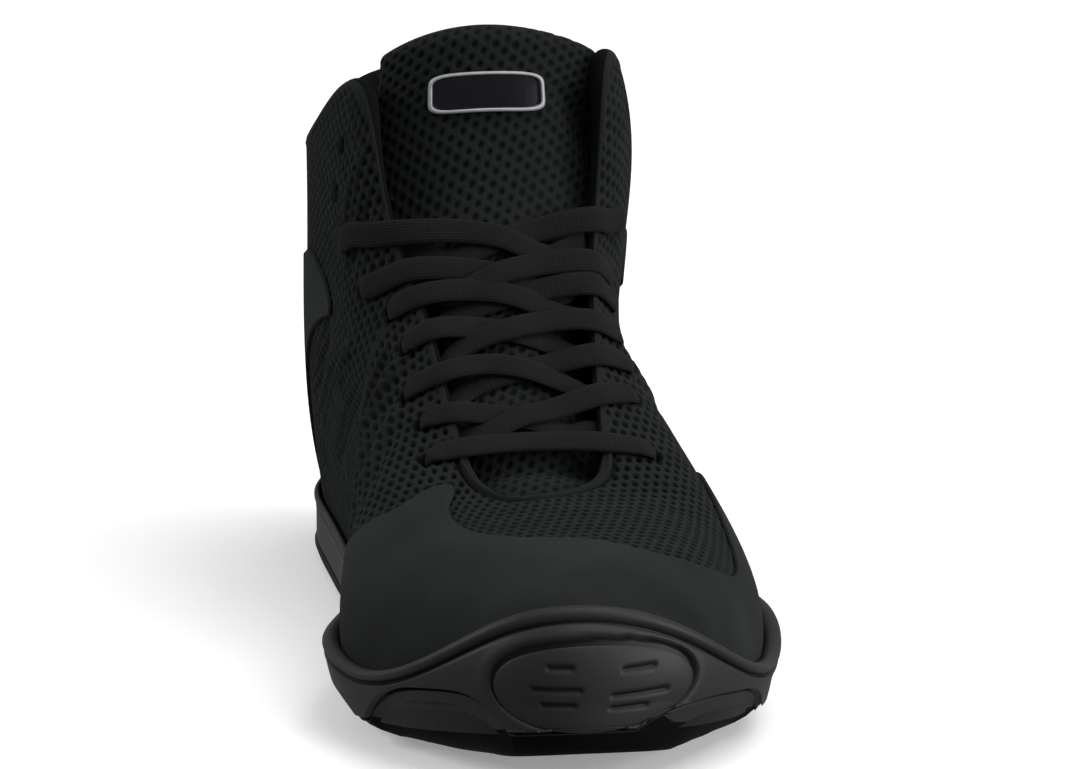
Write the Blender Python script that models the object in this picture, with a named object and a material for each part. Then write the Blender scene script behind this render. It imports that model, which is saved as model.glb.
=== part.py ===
# Boxing shoe for the left foot, standing empty on its sole.
# Sizes and tables are in millimetres and the scene is in metres.
# The toe points along -Y, the outer side of the foot is +X and the floor is Z = 0.
# The upper is a closed band of ribs. Each rib climbs from the feather edge, where the
# upper meets the sole, to the mouth, which is the throat and the collar in one line.
# Ribs are counted round the shoe: 0 at the toe, 5 outside, 10 at the heel, 15 inside.

import itertools

import bpy
import numpy as np

MM = 0.001

# Last and upper
LAST_LENGTH = 286.0
BALL_WIDTH = 97.0
COLLAR_HEIGHT = 143.0
WALL = 2.4
COLLAR_PAD = 4.2
COLLAR_RIBS = (7.1, 12.9)
COLLAR_EASE = 0.5
PAD_SHARES = (0.55, 0.80)
EYELET_INSET = (8.5, 11.0)
EYELET_RADIUS = 2.3
EYELET_SIDES = 8
EYELET_PIN = 9.0
EYELET_RIBS = (3.42, 4.02, 4.44, 4.86, 5.27, 5.66, 6.05, 6.35, 6.63)
LACED_ROWS = 7

# Sole
SPRING = 11.0
SPRING_START = 200.0
ARCH_LIFT = 3.0
ARCH_SPAN = (84.0, 160.0)
ARCH_EASE = 20.0
BED_SLOPE = (60.0, 215.0)
HEEL_SOLE = 13.0
TOE_SOLE = 11.0
HEEL_BEVEL = 2.5
HEEL_BEVEL_START = 6.0
OUTSOLE = 5.0
EDGE_ROUND = 0.6
SIDE_LINE = 6.0
TOE_LINE = 4.2
POD_RISE = 4.8
POD_RECESS = 1.4
POD_THICK = 0.9
POD_INSET = 9.0
POD_RIBS = ((1.95, 0.9), (3.85, 0.85), (16.15, 0.85), (18.05, 0.9))
GROOVE_WIDTH = 4.0
GROOVE_DEPTH = 2.2
GROOVE_REACH = 10.0
GROOVE_STATIONS = (262.0, 246.0, 230.0, 186.0, 172.0, 62.0, 46.0)
TOE_PAD_HEIGHT = 25.0
TOE_PAD_HALF = (1.1, 9.2)
TOE_PAD_DEPTH = 1.8
TOE_PAD_FACE = -0.4
TOE_PAD_CLEAR = (0.06, 0.7)
TOE_POCKET_TOP = 4.0

# Overlays, tongue, insole and lace
GAP = 0.3
OVERLAY = 1.0
OVERLAY_FOOT = 0.03
OVERLAY_GAP = 0.9
PARTING_GAP = 0.5
LACE_WIDTH = 6.6
LACE_THICK = 1.5
LACE_LIFT = 1.46
BAR_LIFT = 0.55
LACE_SINK = 1.6
LACE_STOP = 0.83
LACE_OVER_TONGUE = 1.35
LACE_BELOW = 0.45
LACE_STEPS = 11
BADGE_HALF = (0.58, 0.32)
BADGE_THICK = 1.2
BADGE_GAP = 0.5
BADGE_ROW = 6.36
BADGE_POWER = 2.6

# How finely each form is divided
RIB_STEPS = 64
WALL_STEPS = 12
TOE_CAP_STEPS = (37, 7)
INNER_STEPS = 6
COUNTER_ROWS = 8
TONGUE_STEPS = (15, 9)
DISC_SIDES = 28
MIDDLE_RINGS = (0.3, 0.65)

# One row for each rib, as shares in per cent: along of the last's length, across of half the
# ball width, up of the collar height. The last five columns are millimetres: the lip of the
# sole above the floor, then how far the rib rises and flares out of the feather edge, and how
# far it comes out and drops as it leaves the mouth.
RIB_COLUMNS = (
    "foot_along", "foot_across", "mouth_along", "mouth_across", "mouth_up",
    "lip", "rise", "flare", "out", "drop",
)
RIBS = (
    (100.0, -10.0, 69.6, -2.0, 35.0, 39.8, 31.0, 4.0, 52.0, 5.0),    # toe tip
    (97.5, 33.0, 69.2, 15.0, 34.6, 33.8, 29.0, 4.0, 42.0, 5.0),      # outer toe corner
    (91.0, 70.0, 67.8, 28.0, 35.0, 22.8, 26.0, 4.0, 30.0, 6.0),      # little toe
    (80.4, 93.5, 64.0, 37.0, 38.5, 18.4, 25.0, 4.0, 20.5, 8.0),      # outer ball, front
    (68.5, 101.0, 57.7, 42.0, 47.5, 22.5, 28.0, 3.0, 17.0, 13.0),    # outer ball
    (52.4, 88.7, 50.0, 47.4, 59.4, 21.0, 36.0, 3.0, 16.0, 22.0),     # outer instep
    (37.8, 72.0, 43.4, 56.0, 75.5, 22.0, 42.0, 4.0, 12.0, 34.0),     # outer waist
    (22.7, 68.0, 38.0, 69.0, 98.0, 24.0, 42.0, 4.0, 10.0, 36.0),     # outer collar corner
    (9.8, 60.8, 22.0, 84.5, 80.0, 25.5, 38.0, 5.0, 2.0, 38.0),       # outer ankle
    (2.4, 35.0, 6.8, 57.0, 81.0, 26.5, 36.0, 5.0, -4.0, 38.0),       # outer heel
    (0.0, 0.0, 1.7, 0.0, 84.0, 27.0, 38.0, 5.0, -9.0, 40.0),         # heel back
    (2.4, -31.0, 6.8, -54.0, 81.0, 26.5, 36.0, 5.0, -4.0, 38.0),     # inner heel
    (9.8, -53.5, 22.0, -80.5, 79.5, 25.5, 38.0, 5.0, 2.0, 38.0),     # inner ankle
    (22.7, -57.0, 38.0, -66.5, 94.0, 24.0, 42.0, 4.0, 8.0, 42.0),    # inner collar corner
    (37.8, -55.5, 43.4, -56.0, 74.0, 23.0, 42.0, 4.0, 12.0, 34.0),   # inner waist
    (53.0, -70.0, 50.0, -48.5, 58.7, 22.0, 36.0, 3.0, 16.0, 22.0),   # inner instep
    (71.7, -99.0, 57.7, -43.3, 46.9, 22.5, 28.0, 3.5, 19.0, 13.0),   # inner ball
    (83.2, -94.5, 64.0, -37.0, 38.5, 19.2, 26.0, 4.0, 22.0, 8.0),    # inner ball, front
    (92.3, -72.0, 67.8, -27.0, 35.0, 26.5, 27.0, 4.0, 30.0, 6.0),    # big toe
    (98.0, -43.0, 69.2, -15.5, 34.6, 36.0, 30.0, 4.0, 42.0, 5.0),    # inner toe corner
)
RIB_COUNT = len(RIBS)
HEEL_RIB = RIB_COUNT / 2

# Side of the sole from the footbed outwards: how far below the lip, and how far out from
# the upper. The first row is the edge of the footbed, which takes its own height.
SOLE_SIDE = (
    (None, 2.4),
    (1.2, 2.4),
    (0.0, 3.5),
    (0.7, 4.8),
    (2.4, 5.4),
    (4.4, 5.0),
    (5.0, 4.1),
    (6.0, 4.1),
    (6.6, 5.0),
)
SIDE_OUT = 5.0

# Side of the outsole down to the floor: how far in, and share of its height there.
OUTSOLE_SIDE = ((1.2, 0.5), (2.9, 0.14), (5.2, 0.0))

# Tongue from its end under the vamp to its top: along and up of the front face's middle line,
# half width, how far the edges fall back behind the middle, and thickness.
TONGUE = (
    (214.0, 44.0, 15.0, 3.0, 2.5),
    (198.0, 46.4, 17.0, 4.5, 3.5),
    (181.0, 55.5, 21.0, 7.5, 4.5),
    (162.0, 69.5, 25.0, 11.0, 5.5),
    (143.0, 86.5, 26.8, 13.5, 6.5),
    (127.0, 106.5, 26.4, 12.5, 7.5),
    (118.5, 127.0, 25.8, 9.0, 9.5),
    (115.5, 145.0, 24.6, 7.0, 10.5),
)
TONGUE_TAPER = 0.45
# How far the corners of its top fall below the middle, and the rows over which they do.
TONGUE_ARCH = 6.0
TONGUE_ARCH_ROWS = (5.5, 7.0)
# Rounded top of the tongue: rise, share of the width and share of the thickness.
TONGUE_ROUND = ((1.5, 0.97, 0.9), (4.0, 0.86, 0.62), (5.0, 0.74, 0.3))
TONGUE_CORNER = 0.35

# Insole from the middle of its top round its edge: how far in from the upper, and how high.
INSOLE_SIDE = ((7.0, 3.6), (4.4, 3.6), (3.6, 2.4), (3.6, 0.2), (7.0, 0.2))

# Upper edge of the toe cap: rib, and share of the way up it. It has a peak on the inner side.
TOE_CAP_EDGE = (
    (-4.9, 0.12), (-4.4, 0.27), (-3.9, 0.42), (-3.5, 0.56), (-3.12, 0.70), (-2.9, 0.84), (-2.7, 0.905),
    (-2.4, 0.905), (-1.9, 0.83), (-1.1, 0.755), (-0.5, 0.74), (0.1, 0.72), (0.8, 0.575), (1.6, 0.455),
    (2.2, 0.395), (2.6, 0.395), (3.1, 0.44), (3.7, 0.49), (4.2, 0.50), (4.7, 0.40), (5.3, 0.13),
)
# Heel counter: ribs forward from the heel, then the shares of the rib where it starts and ends.
COUNTER_EDGES = (
    (0.00, 0.03, 0.720), (0.35, 0.03, 0.720), (0.70, 0.03, 0.720), (1.05, 0.03, 0.720), (1.40, 0.03, 0.718),
    (1.75, 0.03, 0.710), (2.05, 0.03, 0.692), (2.30, 0.03, 0.670), (2.44, 0.20, 0.652), (2.60, 0.34, 0.630),
    (2.78, 0.42, 0.608), (2.98, 0.47, 0.585), (3.14, 0.498, 0.560), (3.24, 0.515, 0.538),
)

MATERIALS = {
    "air_mesh": ((0.010, 0.012, 0.014), 0.85),
    "nubuck": ((0.016, 0.018, 0.018), 0.90),
    "midsole_rubber": ((0.028, 0.028, 0.028), 0.55),
    "outsole_rubber": ((0.020, 0.020, 0.020), 0.60),
    "lace_cotton": ((0.018, 0.018, 0.018), 0.80),
    "insole_cloth": ((0.014, 0.014, 0.015), 0.90),
    "badge_plastic": ((0.010, 0.010, 0.012), 0.25),
}


# Curves

def smooth_step(low, high, value):
    share = np.clip((value - low) / (high - low), 0.0, 1.0)
    return share * share * (3.0 - 2.0 * share)


def hermite(left, right, left_slope, right_slope, share):
    square = share * share
    cube = square * share
    return (
        left * (2 * cube - 3 * square + 1)
        + right * (3 * square - 2 * cube)
        + left_slope * (cube - 2 * square + share)
        + right_slope * (cube - square)
    )


def round_spline(rows, at):
    # Smooth closed curve through evenly counted rows.
    count = len(rows)
    unit = np.eye(count)
    system = 4 * unit + np.roll(unit, 1, axis=1) + np.roll(unit, -1, axis=1)
    slopes = np.linalg.solve(system, 3 * (np.roll(rows, -1, axis=0) - np.roll(rows, 1, axis=0)))
    first = np.floor(at).astype(int)
    share = (at - first)[..., None]
    first = first % count
    after = (first + 1) % count
    return hermite(rows[first], rows[after], slopes[first], slopes[after], share)


def open_spline(rows, at):
    # Smooth open curve through evenly counted rows.
    slopes = np.gradient(rows, axis=0)
    first = np.clip(np.floor(at).astype(int), 0, len(rows) - 2)
    share = (at - first)[..., None]
    return hermite(rows[first], rows[first + 1], slopes[first], slopes[first + 1], share)


def table_value(table, at):
    # Value between the rows of a two-column table, eased so that it has no kinks.
    stations, heights = np.array(table).T
    first = np.clip(np.searchsorted(stations, at) - 1, 0, len(stations) - 2)
    slopes = np.gradient(heights, stations)
    span = stations[first + 1] - stations[first]
    share = (at - stations[first]) / span
    slopes = slopes[first] * span, slopes[first + 1] * span
    return hermite(heights[first], heights[first + 1], *slopes, share)


# Heights of the sole along the shoe, from the heel end of the last

def toe_spring(along):
    return SPRING * np.maximum(0.0, (along - SPRING_START) / (LAST_LENGTH - SPRING_START)) ** 2


def footbed(along):
    return toe_spring(along) + HEEL_SOLE + (TOE_SOLE - HEEL_SOLE) * smooth_step(*BED_SLOPE, along)


def underside(along):
    arch = smooth_step(ARCH_SPAN[0], ARCH_SPAN[0] + ARCH_EASE, along)
    arch = arch - smooth_step(ARCH_SPAN[1] - ARCH_EASE, ARCH_SPAN[1], along)
    bevel = np.maximum(0.0, (HEEL_BEVEL_START - along) / (HEEL_BEVEL_START + SIDE_OUT)) ** 2
    return toe_spring(along) + ARCH_LIFT * arch + HEEL_BEVEL * bevel


# Upper surface

RIB_UNITS = (LAST_LENGTH / 100, BALL_WIDTH / 200) * 2 + (COLLAR_HEIGHT / 100,) + (1,) * 5
RIB_TABLE = np.array(RIBS) * np.array(RIB_UNITS)


def rib_values(rib):
    values = round_spline(RIB_TABLE, rib)
    return {name: values[..., i] for i, name in enumerate(RIB_COLUMNS)}


def outward(rib):
    # Level direction straight out from the feather edge: along, across.
    step = 0.02
    ahead = rib_values(rib + step)
    behind = rib_values(rib - step)
    along = ahead["foot_along"] - behind["foot_along"]
    across = ahead["foot_across"] - behind["foot_across"]
    length = np.hypot(along, across)
    return across / length, -along / length


def rib_point(rib, share):
    # Bezier curve from the feather edge to the mouth, as along, across, up.
    v = rib_values(rib)
    out_along, out_across = outward(rib)
    foot_up = footbed(v["foot_along"])
    mouth_up = v["mouth_up"]
    first = np.stack([v["foot_along"], v["foot_across"], foot_up], axis=-1)
    second = np.stack(
        [
            v["foot_along"] + v["flare"] * out_along,
            v["foot_across"] + v["flare"] * out_across,
            foot_up + v["rise"],
        ],
        axis=-1,
    )
    third = np.stack(
        [
            v["mouth_along"] + v["out"] * out_along,
            v["mouth_across"] + v["out"] * out_across,
            mouth_up - v["drop"],
        ],
        axis=-1,
    )
    fourth = np.stack([v["mouth_along"], v["mouth_across"], mouth_up], axis=-1)
    s = np.asarray(share)[..., None]
    r = 1.0 - s
    return r**3 * first + 3 * r * r * s * second + 3 * r * s * s * third + s**3 * fourth


def unit(vectors):
    return vectors / np.linalg.norm(vectors, axis=-1, keepdims=True)


def rib_frame(rib, share):
    # Directions on the upper: outwards, and up along the rib.
    step = 0.01
    round_way = rib_point(rib + step, share) - rib_point(rib - step, share)
    up_way = rib_point(rib, share + step) - rib_point(rib, share - step)
    return unit(np.cross(round_way, up_way)), unit(up_way)


def upper_point(rib, share, lift):
    outwards, _ = rib_frame(rib, share)
    return rib_point(rib, share) + outwards * np.asarray(lift)[..., None]


def wall_thickness(rib, share):
    # The wall thickens to the pad round the collar.
    first, last = COLLAR_RIBS
    around = smooth_step(first - COLLAR_EASE, first + COLLAR_EASE, rib)
    around = around * (1 - smooth_step(last - COLLAR_EASE, last + COLLAR_EASE, rib))
    return WALL + COLLAR_PAD * around * smooth_step(*PAD_SHARES, share)


def share_at_height(rib, up):
    # How far up the rib the upper reaches a height near the sole.
    low = np.zeros(np.broadcast(rib, up).shape)
    high = np.full(low.shape, 0.6)
    for _ in range(24):
        middle = (low + high) / 2
        below = rib_point(rib, middle)[..., 2] < up
        low = np.where(below, middle, low)
        high = np.where(below, high, middle)
    return (low + high) / 2


def side_point(rib, up, out):
    # Point on the side of the sole at a height, standing out from the upper's own side.
    share = share_at_height(rib, up)
    point = rib_point(rib, share)
    out_along, out_across = outward(rib)
    along = point[..., 0] + out * out_along
    across = point[..., 1] + out * out_across
    return np.stack([along, across, up + 0.0 * along], axis=-1)


def wall_point(rib, up, out):
    # Point on the wall of the sole, square out from the upper where it has that height.
    share = share_at_height(rib, up)
    point = upper_point(rib, share, out + 0.0 * share)
    point[..., 2] += np.minimum(0.0, up - rib_point(rib, 0.0 * share)[..., 2])
    return point


# Solids

def scene_points(points):
    # From along, across, up in millimetres to the scene's metres, centred on the sole.
    moved = np.stack(
        [points[..., 1] - CENTRE[1], CENTRE[0] - points[..., 0], points[..., 2]], axis=-1
    )
    return moved.reshape(-1, 3) * MM


def make_object(name, points, faces, material):
    mesh = bpy.data.meshes.new(name)
    mesh.from_pydata(points.tolist(), [], faces)
    mesh.materials.append(material)
    mesh.shade_smooth()
    mesh.set_sharp_from_angle(angle=0.7)
    made = bpy.data.objects.new(name, mesh)
    bpy.context.scene.collection.objects.link(made)
    return made


def band_faces(rings, count):
    # Quads between neighbouring closed rings of points.
    faces = []
    for ring in range(rings - 1):
        for i in range(count):
            j = (i + 1) % count
            low = ring * count
            high = low + count
            faces.append((low + i, high + i, high + j, low + j))
    return faces


def ladder_faces(start, count, flipped):
    # Flat cap across a ring, rung by rung from one side of the shoe to the other.
    faces = []
    for i in range(count // 2):
        rung = [start + i, start + i + 1, start + (count - i - 1) % count, start + (count - i) % count]
        rung = list(dict.fromkeys(rung))
        faces.append(tuple(reversed(rung)) if flipped else tuple(rung))
    return faces


def ring_solid(name, rings, material, closed=False):
    # Solid skinned over rings that run from inside over the top to the outside and under.
    stack = np.stack(rings)
    depth, count = stack.shape[:2]
    faces = band_faces(depth, count)
    if closed:
        last = (depth - 1) * count
        faces += [(last + i, i, (i + 1) % count, last + (i + 1) % count) for i in range(count)]
    else:
        faces += ladder_faces(0, count, False)
        faces += ladder_faces((depth - 1) * count, count, True)
    return make_object(name, scene_points(stack), faces, material)


def sheet_solid(name, front, back, material):
    # Solid between two grids that share their outline.
    rows, columns = front.shape[:2]
    size = rows * columns
    faces = []
    for i in range(rows - 1):
        for j in range(columns - 1):
            a = i * columns + j
            quad = (a, a + 1, a + columns + 1, a + columns)
            faces.append(quad)
            faces.append(tuple(size + corner for corner in reversed(quad)))
    rim = [j for j in range(columns)]
    rim += [i * columns + columns - 1 for i in range(1, rows)]
    rim += [(rows - 1) * columns + j for j in range(columns - 2, -1, -1)]
    rim += [i * columns for i in range(rows - 2, 0, -1)]
    for k, a in enumerate(rim):
        b = rim[(k + 1) % len(rim)]
        faces.append((b, a, size + a, size + b))
    points = np.concatenate([scene_points(front), scene_points(back)])
    return make_object(name, points, faces, material)


def disc_solid(name, surface, middle, half, power, lifts, material):
    # Rounded patch on a surface: rings out over its face, then back under it.
    low, high = lifts
    angle = np.arange(DISC_SIDES) * (2 * np.pi / DISC_SIDES)
    wide = np.sign(np.cos(angle)) * np.abs(np.cos(angle)) ** (2 / power)
    tall = np.sign(np.sin(angle)) * np.abs(np.sin(angle)) ** (2 / power)
    rings = []
    for reach, lift in ((0.5, high), (1.0, high), (1.0, low), (0.5, low)):
        rings.append(surface(middle[0] + half[0] * reach * wide, middle[1] + half[1] * reach * tall, lift))
    return ring_solid(name, rings, material)


def rib_grid():
    return np.arange(RIB_STEPS) * (RIB_COUNT / RIB_STEPS)


def make_upper(material):
    # Hollow band: up the outside, over a rounded rim at the mouth and down the inside.
    rib = rib_grid()
    rings = []
    for share in np.linspace(0.0, 1.0, WALL_STEPS):
        rings.append(rib_point(rib, np.full(RIB_STEPS, share)))
    top = np.ones(RIB_STEPS)
    outwards, up_way = rib_frame(rib, top)
    half = wall_thickness(rib, top) / 2
    edge = rib_point(rib, top)
    for angle in np.radians((45, 90, 135)):
        sink = (half * (np.cos(angle) - 1))[:, None]
        rise = (half * np.sin(angle))[:, None]
        rings.append(edge + outwards * sink + up_way * rise)
    for share in np.linspace(1.0, 0.0, INNER_STEPS):
        level = np.full(RIB_STEPS, share)
        rings.append(upper_point(rib, level, -wall_thickness(rib, level)))
    upper = ring_solid("upper", rings[::-1], material, closed=True)
    cut(upper, make_eyelet_cutter())
    return upper


def eyelet_point(row, side, lift):
    # Middle of an eyelet, inset from the mouth along its rib, with the directions there.
    rib = eyelet_rib(row, side)
    inset = np.interp(row, (0, len(EYELET_RIBS) - 1), EYELET_INSET)
    dense = np.linspace(0.5, 1.0, 60)
    line = rib_point(np.full(60, rib), dense)
    steps = np.linalg.norm(np.diff(line, axis=0), axis=1)
    left = np.concatenate([np.cumsum(steps[::-1])[::-1], [0.0]])
    share = np.interp(-inset, -left, dense)
    return upper_point(np.array(rib), np.array(share), lift), rib_frame(np.array(rib), np.array(share))


def eyelet_rib(row, side):
    # Rib of an eyelet row, which may lie between two rows. The outer side is +1, the inner -1.
    rib = np.interp(row, np.arange(len(EYELET_RIBS)), EYELET_RIBS)
    return rib if side > 0 else RIB_COUNT - rib


def make_eyelet_cutter():
    # One short round pin through the wall at each eyelet.
    sides = EYELET_SIDES
    points = []
    faces = []
    for row, side in itertools.product(range(len(EYELET_RIBS)), (1, -1)):
        middle, (outwards, up_way) = eyelet_point(row, side, 0.0)
        sideways = np.cross(up_way, outwards)
        start = len(points)
        for end in (-EYELET_PIN, EYELET_PIN):
            for k in range(sides):
                turn = 2 * np.pi * k / sides
                spoke = np.cos(turn) * sideways + np.sin(turn) * up_way
                points.append(middle + outwards * end + spoke * EYELET_RADIUS)
        for k in range(sides):
            n = (k + 1) % sides
            faces.append((start + k, start + n, start + sides + n, start + sides + k))
        faces.append(tuple(start + k for k in reversed(range(sides))))
        faces.append(tuple(start + sides + k for k in range(sides)))
    return make_cutter("eyelet_pins", scene_points(np.array(points)), faces)


def make_cutter(name, points, faces):
    mesh = bpy.data.meshes.new(name)
    mesh.from_pydata(points.tolist(), [], faces)
    return hide_cutter(bpy.data.objects.new(name, mesh))


def hide_cutter(cutter):
    if cutter.name not in bpy.context.scene.collection.objects:
        bpy.context.scene.collection.objects.link(cutter)
    cutter.hide_render = True
    cutter.display_type = "WIRE"
    return cutter


def cut(solid, cutter):
    modifier = solid.modifiers.new("cut_" + cutter.name, "BOOLEAN")
    modifier.operation = "DIFFERENCE"
    modifier.object = cutter


def make_overlay(name, ribs, levels, material):
    # Skin over the upper on a grid of ribs and shares.
    front = upper_point(ribs, levels, np.full(levels.shape, OVERLAY_GAP + OVERLAY))
    back = upper_point(ribs, levels, np.full(levels.shape, OVERLAY_GAP))
    return sheet_solid(name, front, back, material)


def make_toe_cap(material):
    # From behind the lip of the sole up to its own edge.
    first, last = TOE_CAP_EDGE[0][0], TOE_CAP_EDGE[-1][0]
    rib = np.linspace(first, last, TOE_CAP_STEPS[0])
    top = table_value(TOE_CAP_EDGE, rib)
    climb = np.linspace(0.0, 1.0, TOE_CAP_STEPS[1])[:, None]
    levels = OVERLAY_FOOT + (top - OVERLAY_FOOT) * climb
    return make_overlay("toe_cap", np.broadcast_to(rib, levels.shape), levels, material)


def make_heel_counter(material):
    # Round the heel, with a wing forward below the ankle on either side.
    reach, low, high = np.array(COUNTER_EDGES).T
    both = np.concatenate([np.arange(len(reach) - 1, 0, -1), np.arange(len(reach))])
    side = np.concatenate([-np.ones(len(reach) - 1), np.ones(len(reach))])
    ribs = HEEL_RIB + side * reach[both]
    climb = np.linspace(0.0, 1.0, COUNTER_ROWS)[:, None]
    levels = low[both] + (high - low)[both] * climb
    return make_overlay("heel_counter", np.broadcast_to(ribs, levels.shape), levels, material)


# Sole

def pod_height(rib):
    # Raised arches where the outsole shows on the side, as shares of the full rise.
    total = np.zeros(rib.shape)
    for middle, half in POD_RIBS:
        total = total + np.maximum(0.0, 1 - ((rib - middle) / half) ** 2)
    return total


def side_line(rib, pods=1.0):
    # Height on the side where midsole and outsole part.
    toe = np.minimum(rib, RIB_COUNT - rib)
    low = TOE_LINE + (SIDE_LINE - TOE_LINE) * smooth_step(0.8, 3.0, toe)
    along = rib_values(rib)["foot_along"]
    return toe_spring(along) + low + pods * POD_RISE * pod_height(rib)


def parting_rings(rib, shift):
    # Face where midsole and outsole part: down behind the pods, then level under the foot.
    out = SIDE_OUT - POD_RECESS - POD_THICK - shift
    inner = side_point(rib, footbed(rib_values(rib)["foot_along"]), -POD_INSET)
    inner[:, 2] = toe_spring(inner[:, 0]) + OUTSOLE + shift
    return [
        side_point(rib, side_line(rib) + shift, out),
        side_point(rib, side_line(rib, pods=0.0) - 0.4 + shift, out - POD_THICK),
        inner,
    ]


def make_midsole(material):
    # Tray under the foot with a beaded lip, a groove below it and a plain side.
    rib = rib_grid()
    v = rib_values(rib)
    bed = footbed(v["foot_along"])
    floor = side_point(rib, bed, SOLE_SIDE[0][1])
    floor[:, 2] = bed - GAP
    rings = [floor]
    for climb in MIDDLE_RINGS:
        rings.append(wall_point(rib, bed + (v["lip"] - SOLE_SIDE[1][0] - bed) * climb, SOLE_SIDE[0][1]))
    for below, out in SOLE_SIDE[1:]:
        rings.append(wall_point(rib, v["lip"] - below, out))
    line = side_line(rib) + PARTING_GAP / 2
    high = v["lip"] - SOLE_SIDE[-1][0]
    for drop in MIDDLE_RINGS:
        rings.append(wall_point(rib, high + (line + EDGE_ROUND - high) * drop, SIDE_OUT))
    rings.append(side_point(rib, line + EDGE_ROUND, SIDE_OUT))
    rings.append(side_point(rib, line, SIDE_OUT - EDGE_ROUND))
    rings += parting_rings(rib, PARTING_GAP / 2)
    midsole = ring_solid("midsole", rings, material)
    pocket = toe_disc("toe_pocket", TOE_PAD_HALF, -TOE_PAD_DEPTH, TOE_POCKET_TOP, material)
    cut(midsole, hide_cutter(pocket))
    return midsole


def toe_surface(rib, up, lift):
    return wall_point(np.mod(rib, RIB_COUNT), up, SIDE_OUT + lift)


def toe_disc(name, half, low, high, material):
    return disc_solid(name, toe_surface, (0.0, TOE_PAD_HEIGHT), half, 2.0, (low, high), material)


def make_toe_pad(material):
    half = (TOE_PAD_HALF[0] - TOE_PAD_CLEAR[0], TOE_PAD_HALF[1] - TOE_PAD_CLEAR[1])
    return toe_disc("toe_pad", half, 2 * GAP - TOE_PAD_DEPTH, TOE_PAD_FACE, material)


def make_outsole(material):
    # Rubber layer on the floor, with arched pods up its side and grooves across it.
    rib = rib_grid()
    line = side_line(rib) - PARTING_GAP / 2
    out = SIDE_OUT - POD_RECESS
    rings = parting_rings(rib, -PARTING_GAP / 2)[::-1]
    rings.append(side_point(rib, line - 0.5, out))
    foot = side_point(rib, line, out)
    ground = underside(foot[:, 0])
    for inset, rise in OUTSOLE_SIDE:
        ring = side_point(rib, line, out - inset)
        ring[:, 2] = underside(ring[:, 0]) + rise * (line - ground)
        rings.append(ring)
    outsole = ring_solid("outsole", rings, material)
    cut(outsole, make_groove_cutter())
    return outsole


def make_groove_cutter():
    # Flex grooves straight across the tread.
    points = []
    faces = []
    for station in GROOVE_STATIONS:
        start = len(points)
        top = float(underside(np.array(station))) + GROOVE_DEPTH
        for along in (station - GROOVE_WIDTH / 2, station + GROOVE_WIDTH / 2):
            for across in (-BALL_WIDTH, BALL_WIDTH):
                for up in (-GROOVE_REACH, top):
                    points.append((along, across, up))
        box = ((0, 1, 3, 2), (4, 6, 7, 5), (0, 4, 5, 1), (2, 3, 7, 6), (0, 2, 6, 4), (1, 5, 7, 3))
        faces += [tuple(start + corner for corner in side) for side in box]
    return make_cutter("flex_grooves", scene_points(np.array(points)), faces)


def make_insole(material):
    # Thin bed on the midsole, inside the feather edge.
    rib = rib_grid()
    bed = footbed(rib_values(rib)["foot_along"])
    rings = []
    for inset, rise in INSOLE_SIDE:
        ring = side_point(rib, bed, -inset)
        ring[:, 2] = footbed(ring[:, 0]) + rise
        rings.append(ring)
    return ring_solid("insole", rings, material)


# Tongue, badge and lace

TONGUE_TABLE = np.array(TONGUE)


def tongue_point(row, across, lift):
    # Front face of the tongue, row counted from its lower end and across from -1 to 1.
    values = open_spline(TONGUE_TABLE, row)
    step = 0.05
    ahead = open_spline(TONGUE_TABLE, row + step)
    behind = open_spline(TONGUE_TABLE, row - step)
    way = unit((ahead - behind)[..., :2])
    back = values[..., 3] * across**2 - lift
    fall = TONGUE_ARCH * smooth_step(*TONGUE_ARCH_ROWS, row) * across**2
    return np.stack(
        [
            values[..., 0] - back * way[..., 1],
            values[..., 2] * across,
            values[..., 1] + back * way[..., 0] - fall,
        ],
        axis=-1,
    )


def make_tongue(material):
    # Padded sheet with a rounded top edge.
    rows = np.linspace(0.0, len(TONGUE) - 1.0, TONGUE_STEPS[0])
    across = np.linspace(-1.0, 1.0, TONGUE_STEPS[1])
    front = []
    back = []
    for row in rows:
        level = np.full(across.shape, row)
        thick = open_spline(TONGUE_TABLE, level)[..., 4] * (1 - TONGUE_TAPER * across**4)
        front.append(tongue_point(level, across, 0 * across))
        back.append(tongue_point(level, across, -thick))
    top_front = front[-1]
    top_back = back[-1]
    middle = (top_front + top_back) / 2
    for rise, narrow, thin in TONGUE_ROUND:
        shift = np.array([0.0, 0.0, rise]) * (1 - TONGUE_CORNER * across**2)[:, None]
        squeeze = np.array([1.0, narrow, 1.0])
        front.append((middle + (top_front - middle) * thin) * squeeze + shift)
        back.append((middle + (top_back - middle) * thin) * squeeze + shift)
    return sheet_solid("tongue", np.stack(front), np.stack(back), material)


def make_badge(material):
    def on_tongue(across, row, lift):
        return tongue_point(row, across, lift + 0 * row)

    lifts = (BADGE_GAP, BADGE_GAP + BADGE_THICK)
    return disc_solid("tongue_badge", on_tongue, (0.0, BADGE_ROW), BADGE_HALF, BADGE_POWER, lifts, material)


def mouth_point(row, side, lift):
    # Point on the throat edge at an eyelet row, lifted square off the upper.
    rib = np.array(eyelet_rib(row, side))
    return upper_point(rib, np.array(1.0), lift)


def lace_middle(ends):
    # Point above the tongue's middle line, halfway between the two ends of a lace.
    along = (ends[0][0] + ends[1][0]) / 2
    rows = np.linspace(1.0, len(TONGUE) - 2.0, 120)
    line = tongue_point(rows, 0 * rows, LACE_THICK / 2 + LACE_OVER_TONGUE)
    return line[np.argmin(np.abs(line[:, 0] - along))]


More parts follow.
